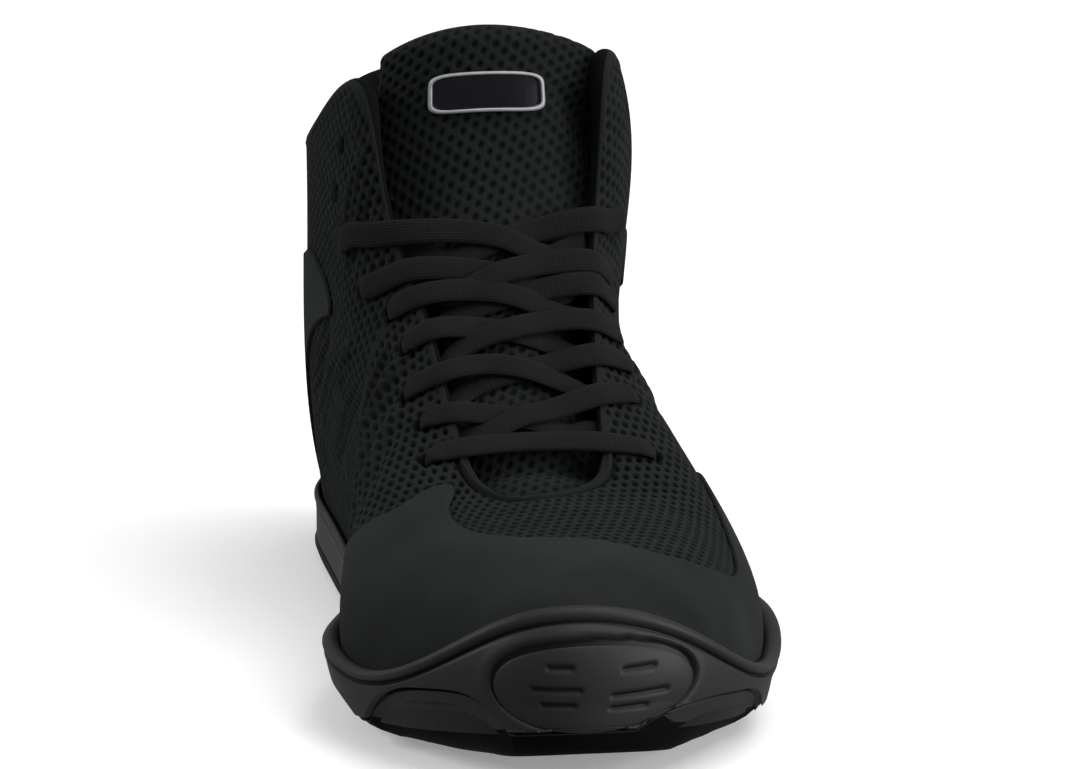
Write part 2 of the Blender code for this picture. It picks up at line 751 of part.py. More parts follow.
def lace_strand(inner_row, outer_row, inner_over, outer_over, lift):
    # Points of one strand from the inner side of the shoe to the outer. An end that goes over
    # the eyestay reaches its eyelet, and an end that goes under stops inside the throat edge.
    over = LACE_THICK / 2 + lift
    ends = []
    for row, side, is_over in ((inner_row, -1, inner_over), (outer_row, 1, outer_over)):
        edge = mouth_point(row, side, over if is_over else -LACE_SINK)
        if is_over:
            ends.append([eyelet_point(row, side, over)[0], edge + np.array([0.0, 0.0, lift])])
        else:
            ends.append([edge * np.array([1.0, LACE_STOP, 1.0])])
    middle = lace_middle((ends[0][-1], ends[1][-1]))
    return np.array(ends[0] + [middle] + ends[1][::-1])


def lace_object(name, row, keys, material):
    # Flat band along a smooth path through a strand's points, lying as the throat does there.
    path = open_spline(keys, np.linspace(0.0, len(keys) - 1.0, LACE_STEPS))
    way = unit(np.gradient(path, axis=0))
    up_throat = mouth_point(row + 0.5, 1, 0.0) - mouth_point(row - 0.5, 1, 0.0)
    up_throat[1] = 0.0
    sideways = unit(up_throat - way * (way @ up_throat)[:, None])
    rise = np.cross(way, sideways) * LACE_THICK / 2
    edge = sideways * LACE_WIDTH / 2
    front = np.stack([path + edge + rise, path - edge + rise], axis=1)
    back = np.stack([path + edge - rise, path - edge - rise], axis=1)
    return sheet_solid(name, front, back, material)


def make_laces(material):
    # A straight bar at the lowest eyelets, then a crossing at each row above it.
    lace_object("lace_row_1", 0, lace_strand(0, 0, True, True, BAR_LIFT), material)
    for row in range(1, LACED_ROWS):
        below = row - LACE_BELOW
        keys = lace_strand(below, row, False, True, LACE_LIFT)
        strand = lace_object(f"lace_row_{row + 1}", row, keys, material)
        keys = lace_strand(row, below, True, False, LACE_LIFT)
        other = lace_object(f"lace_other_{row + 1}", row, keys, material)
        join = strand.modifiers.new("crossing", "BOOLEAN")
        join.operation = "UNION"
        join.object = hide_cutter(other)


def sole_centre():
    # Middle of the sole's outline, which the bead of the lip and the toe pad make.
    rib = rib_grid()
    below, out = max(SOLE_SIDE, key=lambda row: row[1])
    lip = wall_point(rib, rib_values(rib)["lip"] - below, out)
    toe = toe_surface(np.zeros(1), np.full(1, TOE_PAD_HEIGHT), TOE_PAD_FACE)
    outline = np.concatenate([lip, toe])
    return (outline.max(axis=0)[:2] + outline.min(axis=0)[:2]) / 2


def main():
    for old in list(bpy.data.objects):
        bpy.data.objects.remove(old)
    materials = {}
    for name, (colour, rough) in MATERIALS.items():
        material = bpy.data.materials.new(name)
        material.use_nodes = True
        shader = material.node_tree.nodes["Principled BSDF"]
        shader.inputs["Base Color"].default_value = (*colour, 1.0)
        shader.inputs["Roughness"].default_value = rough
        materials[name] = material
    make_upper(materials["air_mesh"])
    make_toe_cap(materials["nubuck"])
    make_heel_counter(materials["nubuck"])
    make_midsole(materials["midsole_rubber"])
    make_toe_pad(materials["midsole_rubber"])
    make_outsole(materials["outsole_rubber"])
    make_insole(materials["insole_cloth"])
    make_tongue(materials["air_mesh"])
    make_badge(materials["badge_plastic"])
    make_laces(materials["lace_cotton"])


CENTRE = sole_centre()
main()
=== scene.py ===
import bpy
import numpy as np
from mathutils import Matrix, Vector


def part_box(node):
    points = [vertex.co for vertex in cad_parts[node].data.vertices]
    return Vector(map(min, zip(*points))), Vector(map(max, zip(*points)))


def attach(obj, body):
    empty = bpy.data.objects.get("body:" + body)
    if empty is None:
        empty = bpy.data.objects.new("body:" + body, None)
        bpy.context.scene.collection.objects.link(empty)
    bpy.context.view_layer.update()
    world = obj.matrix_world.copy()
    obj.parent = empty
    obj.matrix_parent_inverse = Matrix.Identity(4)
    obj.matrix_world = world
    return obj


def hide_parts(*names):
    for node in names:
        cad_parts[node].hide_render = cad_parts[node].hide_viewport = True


# Boxing shoe for the left foot. Shapes are worked out in millimetres as along (heel to toe),
# across (+ is the outer side) and up, then put into the model's frame in metres.

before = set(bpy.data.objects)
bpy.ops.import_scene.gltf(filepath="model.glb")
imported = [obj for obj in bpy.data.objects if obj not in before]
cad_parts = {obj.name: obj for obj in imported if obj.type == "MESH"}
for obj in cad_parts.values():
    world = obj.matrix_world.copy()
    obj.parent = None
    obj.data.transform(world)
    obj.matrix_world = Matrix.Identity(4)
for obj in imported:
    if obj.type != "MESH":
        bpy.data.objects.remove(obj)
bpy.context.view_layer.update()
mm = 0.001
print("frame loaded:", len(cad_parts), "nodes")

# The last: a closed band of ribs, 0 at the toe, 5 outside, 10 at the heel and 15 inside.
last = {
    "length": 286.0, "ballWidth": 97.0, "collarHeight": 143.0,
    "wall": 2.4, "collarPad": 4.2, "collarReach": 2.9, "collarEase": 0.5, "padShares": (0.55, 0.80),
    "frontRib": 3.2, "frontEase": 0.5, "frontPad": (3.4, 2.2),
    "spring": 11.0, "springStart": 200.0, "heelSole": 13.0, "toeSole": 11.0, "bedSlope": (60.0, 215.0),
    "archLift": 3.0, "archSpan": (84.0, 160.0), "archEase": 20.0, "heelBevel": (2.5, 6.0, 5.0),
}
# Per cent of length, half ball width and collar height, then millimetres: the sole's lip above the
# floor, rise and flare out of the feather edge, and reach out and drop as the rib leaves the mouth.
ribColumns = ("footAlong", "footAcross", "mouthAlong", "mouthAcross", "mouthUp",
              "lip", "rise", "flare", "out", "drop")
ribRows = (
    (100.0, -10.0, 69.6, -2.0, 35.0, 39.8, 31.0, 4.0, 52.0, 5.0),    # toe tip
    (97.5, 33.0, 68.0, 15.0, 35.0, 33.8, 29.0, 4.0, 42.0, 5.0),
    (91.0, 70.0, 66.4, 28.0, 35.6, 22.8, 26.0, 4.0, 30.0, 6.0),
    (80.4, 93.5, 64.0, 37.0, 38.5, 18.4, 25.0, 5.4, 20.5, 8.0),
    (68.5, 101.0, 57.7, 41.0, 47.5, 21.5, 28.0, 5.2, 18.6, 13.0),    # outer ball
    (52.4, 88.7, 50.0, 46.5, 59.4, 18.6, 36.0, 3.0, 13.5, 22.0),
    (37.8, 72.0, 43.4, 54.0, 75.5, 17.8, 42.0, 0.5, 8.0, 34.0),
    (22.7, 68.0, 38.0, 67.8, 98.0, 18.2, 42.0, -1.0, 13.5, 36.0),     # outer collar corner
    (9.8, 60.8, 22.0, 84.5, 80.0, 18.6, 38.0, 5.0, 2.0, 38.0),
    (2.4, 35.0, 6.8, 57.0, 81.0, 20.0, 36.0, 5.0, -4.0, 38.0),
    (0.0, 0.0, 1.7, 0.0, 84.0, 21.0, 38.0, 5.0, -9.0, 40.0),         # heel back
    (2.4, -31.0, 6.8, -49.5, 81.0, 19.4, 36.0, 5.0, -4.0, 38.0),
    (9.8, -58.0, 22.0, -77.0, 79.5, 17.4, 38.0, 6.2, 0.0, 38.0),
    (22.7, -64.5, 38.0, -66.5, 94.0, 17.6, 42.0, 4.0, 8.0, 42.0),    # inner collar corner
    (37.8, -66.0, 43.4, -54.5, 74.0, 17.4, 42.0, 4.0, 12.0, 34.0),
    (53.0, -72.0, 50.0, -43.5, 58.7, 16.4, 36.0, 3.0, 16.0, 22.0),
    (71.7, -99.0, 57.7, -38.3, 46.9, 19.8, 28.0, 3.5, 19.0, 13.0),   # inner ball
    (83.2, -94.5, 64.0, -33.0, 38.5, 19.2, 26.0, 4.0, 22.0, 8.0),
    (92.3, -72.0, 66.8, -26.0, 35.4, 26.5, 27.0, 4.0, 30.0, 6.0),
    (98.0, -43.0, 69.2, -15.5, 34.6, 36.0, 30.0, 4.0, 42.0, 5.0),
)
ribCount = len(ribRows)
heelRib = ribCount / 2
ribUnits = (last["length"] / 100, last["ballWidth"] / 200) * 2 + (last["collarHeight"] / 100,) + (1,) * 5
ribTable = np.array(ribRows) * np.array(ribUnits)


# Curves

def smoothStep(low, high, value):  # 0 at low, 1 at high, level at both
    share = np.clip((value - low) / (high - low), 0.0, 1.0)
    return share * share * (3.0 - 2.0 * share)


def bell(distance, width):  # soft hump of height 1
    return np.exp(-(distance / width) ** 2)


def hermite(left, right, leftSlope, rightSlope, share):  # cubic between two values with given slopes
    square = share * share
    cube = square * share
    return (left * (2 * cube - 3 * square + 1) + right * (3 * square - 2 * cube)
            + leftSlope * (cube - 2 * square + share) + rightSlope * (cube - square))


def roundSpline(rows, at):  # smooth closed curve through evenly counted rows
    count = len(rows)
    eye = np.eye(count)
    system = 4 * eye + np.roll(eye, 1, axis=1) + np.roll(eye, -1, axis=1)
    slopes = np.linalg.solve(system, 3 * (np.roll(rows, -1, axis=0) - np.roll(rows, 1, axis=0)))
    first = np.floor(at).astype(int)
    share = (at - first)[..., None]
    first = first % count
    after = (first + 1) % count
    return hermite(rows[first], rows[after], slopes[first], slopes[after], share)


def openSpline(rows, at):  # smooth open curve through evenly counted rows
    slopes = np.gradient(rows, axis=0)
    first = np.clip(np.floor(at).astype(int), 0, len(rows) - 2)
    share = (at - first)[..., None]
    return hermite(rows[first], rows[first + 1], slopes[first], slopes[first + 1], share)


def tableValue(table, at):  # smooth value between the rows of a two-column table
    stations, heights = np.array(table).T
    at = np.clip(at, stations[0], stations[-1])
    first = np.clip(np.searchsorted(stations, at) - 1, 0, len(stations) - 2)
    slopes = np.gradient(heights, stations)
    span = stations[first + 1] - stations[first]
    share = (at - stations[first]) / span
    return hermite(heights[first], heights[first + 1], slopes[first] * span, slopes[first + 1] * span, share)


def pathSpline(keys, count):  # smooth curve through keys, evenly divided by length
    stations = np.concatenate([[0.0], np.cumsum(np.linalg.norm(np.diff(keys[:, :3], axis=0), axis=1))])
    slopes = np.gradient(keys, stations, axis=0)
    fine = np.linspace(0.0, stations[-1], count)
    first = np.clip(np.searchsorted(stations, fine) - 1, 0, len(stations) - 2)
    span = (stations[first + 1] - stations[first])[:, None]
    share = (fine - stations[first])[:, None] / span
    return hermite(keys[first], keys[first + 1], slopes[first] * span, slopes[first + 1] * span, share)


def unit(vectors):
    return vectors / np.linalg.norm(vectors, axis=-1, keepdims=True)


# Heights along the shoe

def toeSpring(along):
    rest = last["length"] - last["springStart"]
    return last["spring"] * np.maximum(0.0, (along - last["springStart"]) / rest) ** 2


def footbed(along):
    step = smoothStep(*last["bedSlope"], along)
    return toeSpring(along) + last["heelSole"] + (last["toeSole"] - last["heelSole"]) * step


def underside(along):
    start, end = last["archSpan"]
    ease = last["archEase"]
    arch = smoothStep(start, start + ease, along) - smoothStep(end - ease, end, along)
    lift, bevelStart, bevelReach = last["heelBevel"]
    bevel = np.maximum(0.0, (bevelStart - along) / (bevelStart + bevelReach)) ** 2
    return toeSpring(along) + last["archLift"] * arch + lift * bevel


# Surface of the upper

def ribValues(rib):
    values = roundSpline(ribTable, np.asarray(rib, float))
    return {name: values[..., i] for i, name in enumerate(ribColumns)}


def outward(rib):  # level direction straight out from the feather edge: along, across
    feather = ribTable[:, :2]
    ahead = roundSpline(feather, np.asarray(rib) + 0.02) - roundSpline(feather, np.asarray(rib) - 0.02)
    length = np.hypot(ahead[..., 0], ahead[..., 1])
    return ahead[..., 1] / length, -ahead[..., 0] / length


def ribPoint(rib, share):  # cubic Bezier curve from the feather edge to the mouth
    v = ribValues(rib)
    outAlong, outAcross = outward(rib)
    footUp = footbed(v["footAlong"])
    first = np.stack([v["footAlong"], v["footAcross"], footUp], axis=-1)
    fourth = np.stack([v["mouthAlong"], v["mouthAcross"], v["mouthUp"]], axis=-1)
    rise = np.stack([v["flare"] * outAlong, v["flare"] * outAcross, v["rise"]], axis=-1)
    leave = np.stack([v["out"] * outAlong, v["out"] * outAcross, -v["drop"]], axis=-1)
    s = np.asarray(share, float)[..., None]
    r = 1.0 - s
    return r**3 * first + 3 * r * r * s * (first + rise) + 3 * r * s * s * (fourth + leave) + s**3 * fourth


def ribFrame(rib, share):  # directions on the upper: outwards, and up along the rib
    step = 0.01
    roundWay = ribPoint(rib + step, share) - ribPoint(rib - step, share)
    upWay = ribPoint(rib, share + step) - ribPoint(rib, share - step)
    return unit(np.cross(roundWay, upWay)), unit(upWay)


def upperPoint(rib, share, lift):  # point of the upper, lifted square off it
    outwards, _ = ribFrame(rib, share)
    return ribPoint(rib, share) + outwards * np.asarray(lift)[..., None]


def wallThickness(rib, share):  # padded round the collar, and most at its two front edges
    turn = np.mod(rib, ribCount)
    reach = np.abs(turn - heelRib)
    start, ease = last["collarReach"], last["collarEase"]
    around = 1 - smoothStep(start - ease, start + ease, reach)
    front = bell(reach - last["frontRib"], last["frontEase"]) * np.where(turn < heelRib, *last["frontPad"])
    up = smoothStep(*last["padShares"], share)
    return last["wall"] + up * np.maximum(around * (last["collarPad"] - last["wall"]), front)


def shareAtHeight(rib, up):  # how far up a rib the upper reaches a height near the sole, by halving
    low = np.zeros(np.broadcast(rib, up).shape)
    high = np.full(low.shape, 0.6)
    for _ in range(18):
        middle = (low + high) / 2
        below = ribPoint(rib + 0 * low, middle)[..., 2] < up
        low = np.where(below, middle, low)
        high = np.where(below, high, middle)
    return (low + high) / 2


def sidePoint(rib, up, out):  # side of the sole at a height, standing level out from the upper
    point = ribPoint(rib, shareAtHeight(rib, up))
    outAlong, outAcross = outward(rib)
    along = point[..., 0] + out * outAlong
    return np.stack([along, point[..., 1] + out * outAcross, up + 0 * along], axis=-1)


def wallPoint(rib, up, out):  # side of the sole at a height, standing square out from the upper
    share = shareAtHeight(rib, up)
    point = upperPoint(rib + 0 * share, share, out + 0 * share)
    point[..., 2] += np.minimum(0.0, up - ribPoint(rib + 0 * share, 0 * share)[..., 2])
    return point


def evenRibs(first, end, share, count):  # ribs that lie evenly apart at one share of their height
    fine = np.linspace(first, end, 2000)
    steps = np.linalg.norm(np.diff(ribPoint(fine, np.full(2000, share)), axis=0), axis=1)
    arc = np.concatenate([[0.0], np.cumsum(steps)])
    return np.interp(np.linspace(0.0, arc[-1], count), arc, fine)


# The ribs' own middle is where the model has the middle of its upper
fineRib, fineShare = np.meshgrid(np.linspace(0, ribCount, 400), np.linspace(0, 1, 80), indexing="ij")
finePoints = ribPoint(fineRib, fineShare).reshape(-1, 3)
fineMiddle = (finePoints.min(axis=0) + finePoints.max(axis=0)) / 2
upperLow, upperHigh = (np.array(corner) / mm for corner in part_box("upper"))
centreAlong = fineMiddle[0] + (upperLow[1] + upperHigh[1]) / 2
centreAcross = fineMiddle[1] - (upperLow[0] + upperHigh[0]) / 2


def toModel(points):
    along, across, up = np.moveaxis(points, -1, 0)
    return np.stack([across - centreAcross, centreAlong - along, up], axis=-1) * mm


# Meshes

def bandQuads(rows, columns, roundRows, roundColumns):  # quads of a grid, closed either way or not
    i = np.arange(rows if roundRows else rows - 1)[:, None]
    j = np.arange(columns if roundColumns else columns - 1)[None, :]
    nextRow = (i + 1) % rows
    nextColumn = (j + 1) % columns
    places = ((i, j), (nextRow, j), (nextRow, nextColumn), (i, nextColumn))
    corners = np.broadcast_arrays(*(row * columns + column for row, column in places))
    return np.stack(corners, axis=-1).reshape(-1, 4)


def wallFaces(rows, columns):  # a band closed round its rows, with one polygon at each end
    ring = np.arange(rows) * columns
    return [bandQuads(rows, columns, True, False), ring[None, ::-1], (ring + columns - 1)[None, :]]


def tubeFaces(rows, columns):  # a band closed round its columns, with one polygon at each end
    ring = np.arange(columns)[None, :]
    return [bandQuads(rows, columns, False, True), ring, ring[:, ::-1] + (rows - 1) * columns]


def sideStrips(rows, columns):  # the two open edges of a front and back sheet, joined by quads
    i = np.arange(rows // 2 - 1)
    back = rows - 1 - i
    first = np.stack([(i + 1) * columns, i * columns, back * columns, (back - 1) * columns], axis=-1)
    other = first[:, ::-1] + columns - 1
    return [first, other]


def ringCap(start, count):  # quads across a ring, from one side of the shoe to the other
    i = np.arange(1, count // 2 - 1)
    rungs = np.stack([i, i + 1, count - i - 1, count - i], axis=-1)
    half = count // 2
    ends = np.array([[0, 1, count - 1], [half, half + 1, half - 1]])
    return [start + rungs, start + ends]


def bedFaces(rows, columns):  # a band closed round its columns, with quads across both ends
    far = [cap[:, ::-1] for cap in ringCap((rows - 1) * columns, columns)]
    return [bandQuads(rows, columns, False, True)] + ringCap(0, columns) + far


def makePiece(name, points, polygons, materials, nodes, values=None, uv=None, faceMaterial=None):
    # Closed mesh from points and arrays of polygons. Its signed volume tells if they have to turn round.
    flat = toModel(points).reshape(-1, 3)
    volume = 0.0
    for sides in polygons:
        for k in range(1, sides.shape[1] - 1):
            fan = np.cross(flat[sides[:, k]], flat[sides[:, k + 1]])
            volume += np.sum(flat[sides[:, 0]] * fan)
    if volume < 0:
        polygons = [sides[:, ::-1] for sides in polygons]
    corners = np.concatenate([sides.ravel() for sides in polygons]).astype(np.int32)
    sizes = np.concatenate([np.full(len(sides), sides.shape[1]) for sides in polygons])
    starts = np.concatenate([[0], np.cumsum(sizes)[:-1]]).astype(np.int32)
    mesh = bpy.data.meshes.new(name)
    mesh.vertices.add(len(flat))
    mesh.vertices.foreach_set("co", flat.astype(np.float32).ravel())
    mesh.loops.add(len(corners))
    mesh.loops.foreach_set("vertex_index", corners)
    mesh.polygons.add(len(sizes))
    mesh.polygons.foreach_set("loop_start", starts)
    mesh.update(calc_edges=True)
    for material in materials:
        mesh.materials.append(material)
    if faceMaterial is not None:
        mesh.polygons.foreach_set("material_index", faceMaterial.astype(np.int32))
    for key, value in (values or {}).items():
        layer = mesh.attributes.new(key, "FLOAT", "POINT")
        layer.data.foreach_set("value", value.astype(np.float32).ravel())
    if uv is not None:
        laid = uv.reshape(-1, 2)[corners].astype(np.float32)
        mesh.uv_layers.new(name="laid").data.foreach_set("uv", laid.ravel())
    mesh.validate()
    mesh.shade_smooth()
    piece = bpy.data.objects.new(name, mesh)
    bpy.context.scene.collection.objects.link(piece)
    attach(piece, "root")
    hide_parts(*nodes)
    print("made", name, "with", int((sizes - 2).sum()), "triangles")
    return piece


# Finishes

def feed(tree, socket, value):  # an output is linked to the socket, anything else is set as its constant
    if hasattr(value, "is_linked"):
        tree.links.new(value, socket)
    else:
        socket.default_value = value


def addNode(tree, kind, inputs=(), **settings):
    node = tree.nodes.new(kind)
    for key, value in settings.items():
        setattr(node, key, value)
    for key, value in dict(inputs).items():
        feed(tree, node.inputs[key], value)
    return node


def addNoise(tree, where, scale, detail):
    inputs = {"Vector": where, "Scale": scale, "Detail": detail}
    return addNode(tree, "ShaderNodeTexNoise", inputs).outputs["Fac"]


def addMath(tree, operation, *values):
    return addNode(tree, "ShaderNodeMath", enumerate(values), operation=operation).outputs[0]


def addRange(tree, value, low, high):
    inputs = {"Value": value, "To Min": low, "To Max": high}
    return addNode(tree, "ShaderNodeMapRange", inputs).outputs["Result"]


def newGroup(name, inputs, outputs):  # group with a Vector, floats at their first values, and float outputs
    tree = bpy.data.node_groups.new(name, "ShaderNodeTree")
    tree.interface.new_socket("Vector", in_out="INPUT", socket_type="NodeSocketVector")
    for socket, value in inputs.items():
        made = tree.interface.new_socket(socket, in_out="INPUT", socket_type="NodeSocketFloat")
        made.default_value = value
    for socket in outputs:
        tree.interface.new_socket(socket, in_out="OUTPUT", socket_type="NodeSocketFloat")
    return tree, tree.nodes.new("NodeGroupInput").outputs, tree.nodes.new("NodeGroupOutput").inputs


def fibreGroup():
    # Fibre grain: a fine noise for the hairs, and a broad one that clouds the tone.
    firstValues = {"Fine Scale": 2500.0, "Cloud Scale": 40.0, "Cloud Strength": 0.3}
    tree, given, sink = newGroup("fibreGrain", firstValues, ("Tone", "Height"))
    fine = addNoise(tree, given["Vector"], given["Fine Scale"], 4.0)
    cloud = addNoise(tree, given["Vector"], given["Cloud Scale"], 3.0)
    scaled = addMath(tree, "MULTIPLY", addMath(tree, "SUBTRACT", cloud, 0.5), given["Cloud Strength"])
    speck = addMath(tree, "MULTIPLY_ADD", fine, 0.35, 0.825)
    feed(tree, sink["Tone"], addMath(tree, "MULTIPLY_ADD", scaled, 2.0, speck))
    feed(tree, sink["Height"], fine)
    return tree


def rubberGroup():
    # Moulded rubber: fine pits, and a faint bloom that dulls the gloss in patches.
    firstValues = {"Pit Scale": 1500.0, "Bloom Scale": 60.0, "Low Rough": 0.4, "High Rough": 0.6}
    tree, given, sink = newGroup("rubberSkin", firstValues, ("Tone", "Rough", "Height"))
    bloom = addNoise(tree, given["Vector"], given["Bloom Scale"], 5.0)
    feed(tree, sink["Tone"], addRange(tree, bloom, 0.8, 1.25))
    feed(tree, sink["Rough"], addRange(tree, bloom, given["Low Rough"], given["High Rough"]))
    feed(tree, sink["Height"], addNoise(tree, given["Vector"], given["Pit Scale"], 2.0))
    return tree

fibreGrain = fibreGroup()
rubberSkin = rubberGroup()


def startMaterial(name, look):
    # Principled shader's inputs with the constants of a finish, and Object coordinates to hang patterns on.
    material = bpy.data.materials.new(name)
    material.use_nodes = True
    tree = material.node_tree
    shader = tree.nodes["Principled BSDF"].inputs
    shader["Roughness"].default_value = look["rough"]
    shader["Specular IOR Level"].default_value = look["specular"]
    if "sheen" in look:
        shader["Sheen Weight"].default_value = look["sheen"]
        shader["Sheen Roughness"].default_value = 0.6
    return material, tree, shader, addNode(tree, "ShaderNodeTexCoord").outputs["Object"]


def tinted(tree, shader, colour, tone):
    # Colour times a tone that varies over the surface.
    if not hasattr(colour, "is_linked"):
        plain = addNode(tree, "ShaderNodeRGB").outputs[0]
        plain.default_value = (*colour, 1.0)
        colour = plain
    mixed = addNode(tree, "ShaderNodeVectorMath", {0: colour, "Scale": tone}, operation="SCALE")
    feed(tree, shader["Base Color"], mixed.outputs[0])


def bumped(tree, shader, height, distance, strength):
    inputs = {"Height": height, "Distance": distance * mm, "Strength": strength}
    feed(tree, shader["Normal"], addNode(tree, "ShaderNodeBump", inputs).outputs["Normal"])


def placeFibre(tree, where, look):
    inputs = {"Vector": where, "Fine Scale": look["fine"], "Cloud Scale": look["cloud"],
              "Cloud Strength": look["clouding"]}
    return addNode(tree, "ShaderNodeGroup", inputs, node_tree=fibreGrain).outputs


def placeSkin(tree, shader, where, values):  # rubber skin, which sets the roughness too
    skin = addNode(tree, "ShaderNodeGroup", {"Vector": where, **values}, node_tree=rubberSkin).outputs
    feed(tree, shader["Roughness"], skin["Rough"])
    return skin


clothLooks = {
    # airMesh's hole colour is painted shade for the open cells, the eyelet holes and the line below the
    # throat's edge.
    "airMesh": {"colour": (0.0078, 0.0093, 0.0098), "hole": (0.0007, 0.0008, 0.0010), "rough": 0.85,
                "specular": 0.10, "sheen": 0.015, "fine": 3800.0, "cloud": 55.0, "clouding": 0.20,
                "bump": 0.5},
    "lining": {"colour": (0.0026, 0.0029, 0.0031), "rough": 0.95, "specular": 0.05, "sheen": 0.005,
               "fine": 2600.0, "cloud": 60.0, "clouding": 0.2, "bump": 0.4},
    "nubuck": {"colour": (0.0106, 0.0124, 0.0119), "rough": 0.92, "specular": 0.10, "sheen": 0.02,
               "fine": 4200.0, "cloud": 34.0, "clouding": 0.8, "bump": 0.35},
    "insoleCloth": {"colour": (0.012, 0.012, 0.013), "rough": 0.95, "specular": 0.1, "sheen": 0.02,
                    "fine": 2200.0, "cloud": 50.0, "clouding": 0.2, "bump": 0.4},
}


def clothMaterial(name):
    # Cloth or nap: the fibre grain tints and bumps it, and the hole value mixes in painted shade, which
    # darkens the open cells, the eyelet holes and the line below the throat's edge.
    look = clothLooks[name]
    material, tree, shader, where = startMaterial(name, look)
    fibre = placeFibre(tree, where, look)
    colour = look["colour"]
    if "hole" in look:
        depth = addNode(tree, "ShaderNodeAttribute", attribute_name="hole").outputs["Fac"]
        inputs = {"A": (*look["colour"], 1.0), "B": (*look["hole"], 1.0), "Factor": depth}
        colour = addNode(tree, "ShaderNodeMix", inputs, data_type="RGBA").outputs["Result"]
    tinted(tree, shader, colour, fibre["Tone"])
    bumped(tree, shader, fibre["Height"], 0.25, look["bump"])
    return material


rubberLooks = {
    # midsoleRubber: the first tone value is how dark painted shade leaves cuts and recesses.
    "midsoleRubber": {"colour": (0.0158, 0.0158, 0.0156), "groove": 0.12, "rough": 0.5, "specular": 0.22,
                      "pits": 1700.0, "bloom": 45.0, "roughs": (0.42, 0.62), "bump": 0.12},
    "outsoleRubber": {"colour": (0.0150, 0.0150, 0.0150), "rough": 0.6, "specular": 0.25, "pits": 520.0,
                      "bloom": 80.0, "roughs": (0.5, 0.75), "bump": 0.6},
    # The tread's rubber is the outsole's rubber painted near-black as the shade on the underside below the
    # raised toe.
    "shadedTreadRubber": {"colour": (0.0022, 0.0022, 0.0022), "rough": 0.85, "specular": 0.06, "pits": 900.0,
                    "bloom": 80.0, "roughs": (0.7, 0.9), "bump": 0.3},
}


def rubberMaterial(name):
    # Moulded rubber: the skin tints, dulls and bumps it, and a value of painted shade darkens what is cut
    # in: the lip groove, the toe oval's recess and the pad's slots.
    look = rubberLooks[name]
    material, tree, shader, where = startMaterial(name, look)
    low, high = look["roughs"]
    values = {"Pit Scale": look["pits"], "Bloom Scale": look["bloom"], "Low Rough": low, "High Rough": high}
    skin = placeSkin(tree, shader, where, values)
    tone = skin["Tone"]
    if "groove" in look:
        depth = addNode(tree, "ShaderNodeAttribute", attribute_name="groove").outputs["Fac"]
        tone = addMath(tree, "MULTIPLY", tone, addRange(tree, depth, 1.0, look["groove"]))
    tinted(tree, shader, look["colour"], tone)
    bumped(tree, shader, skin["Height"], 0.3, look["bump"])
    return material


laceLook = {"colour": (0.0050, 0.0052, 0.0051), "rough": 0.85, "specular": 0.12, "sheen": 0.015,
            "fine": 3000.0, "cloud": 70.0, "clouding": 0.25, "bump": 0.5, "threads": 9.0, "threadDepth": 0.3}


def laceMaterial():
    # Flat weave: fine threads run along the lace on its own laid-out coordinates.
    look = laceLook
    material, tree, shader, where = startMaterial("laceCotton", look)
    fibre = placeFibre(tree, where, look)
    laid = addNode(tree, "ShaderNodeUVMap", uv_map="laid").outputs["UV"]
    across = addNode(tree, "ShaderNodeSeparateXYZ", {0: laid}).outputs["Y"]
    wave = addMath(tree, "SINE", addMath(tree, "MULTIPLY", across, look["threads"] * 2 * np.pi))
    height = addMath(tree, "MULTIPLY_ADD", wave, look["threadDepth"], fibre["Height"])
    tinted(tree, shader, look["colour"], fibre["Tone"])
    bumped(tree, shader, height, 0.25, look["bump"])
    return material


badgeLooks = {
    "badgeFace": {"colour": (0.003, 0.003, 0.005), "rough": 0.2, "specular": 0.25},
    "badgeRim": {"colour": (0.30, 0.31, 0.32), "rough": 0.28, "specular": 0.5},
}
badgeBloom = {"scale": 300.0, "low": 0.8, "high": 1.3}   # patches of gloss, as shares of the roughness


def badgeMaterial(name):
    look = badgeLooks[name]
    material, tree, shader, where = startMaterial(name, look)
    values = {"Bloom Scale": badgeBloom["scale"], "Low Rough": look["rough"] * badgeBloom["low"],
              "High Rough": look["rough"] * badgeBloom["high"]}
    skin = placeSkin(tree, shader, where, values)
    tinted(tree, shader, look["colour"], skin["Tone"])
    return material


airMesh, lining, nubuck, insoleCloth = [clothMaterial(name) for name in clothLooks]
midsoleRubber, outsoleRubber, shadedTreadRubber = [rubberMaterial(name) for name in rubberLooks]
laceCotton = laceMaterial()
badgeFace, badgeRim = [badgeMaterial(name) for name in badgeLooks]
print("finishes made")


# Spacer mesh: staggered rows of open cells
weave = {"pitch": 2.75, "rowGap": 3.1, "wide": 1.7, "tall": 2.2, "depth": 0.95, "uneven": 0.10}


def cellField(u, v, turn):
    # 1 in an open cell and 0 on the threads: distance to the nearer of two lattices half a step apart.
    angle = np.radians(turn)
    a = u * np.cos(angle) + v * np.sin(angle)
    b = v * np.cos(angle) - u * np.sin(angle)
    nearest = np.full(np.shape(u), 9.0)
    for shift in (0.0, 0.5):
        i = a / weave["pitch"] - shift
        j = b / (2 * weave["rowGap"]) - shift
        size = 1 + weave["uneven"] * np.sin(np.round(i) * 12.99 + np.round(j) * 78.23 + shift * 37.7)
        wide = (i - np.round(i)) * weave["pitch"] / (weave["wide"] / 2)
        tall = (j - np.round(j)) * 2 * weave["rowGap"] / (weave["tall"] / 2)
        nearest = np.minimum(nearest, np.hypot(wide, tall) / size)
    return 1 - smoothStep(0.5, 1.2, nearest)


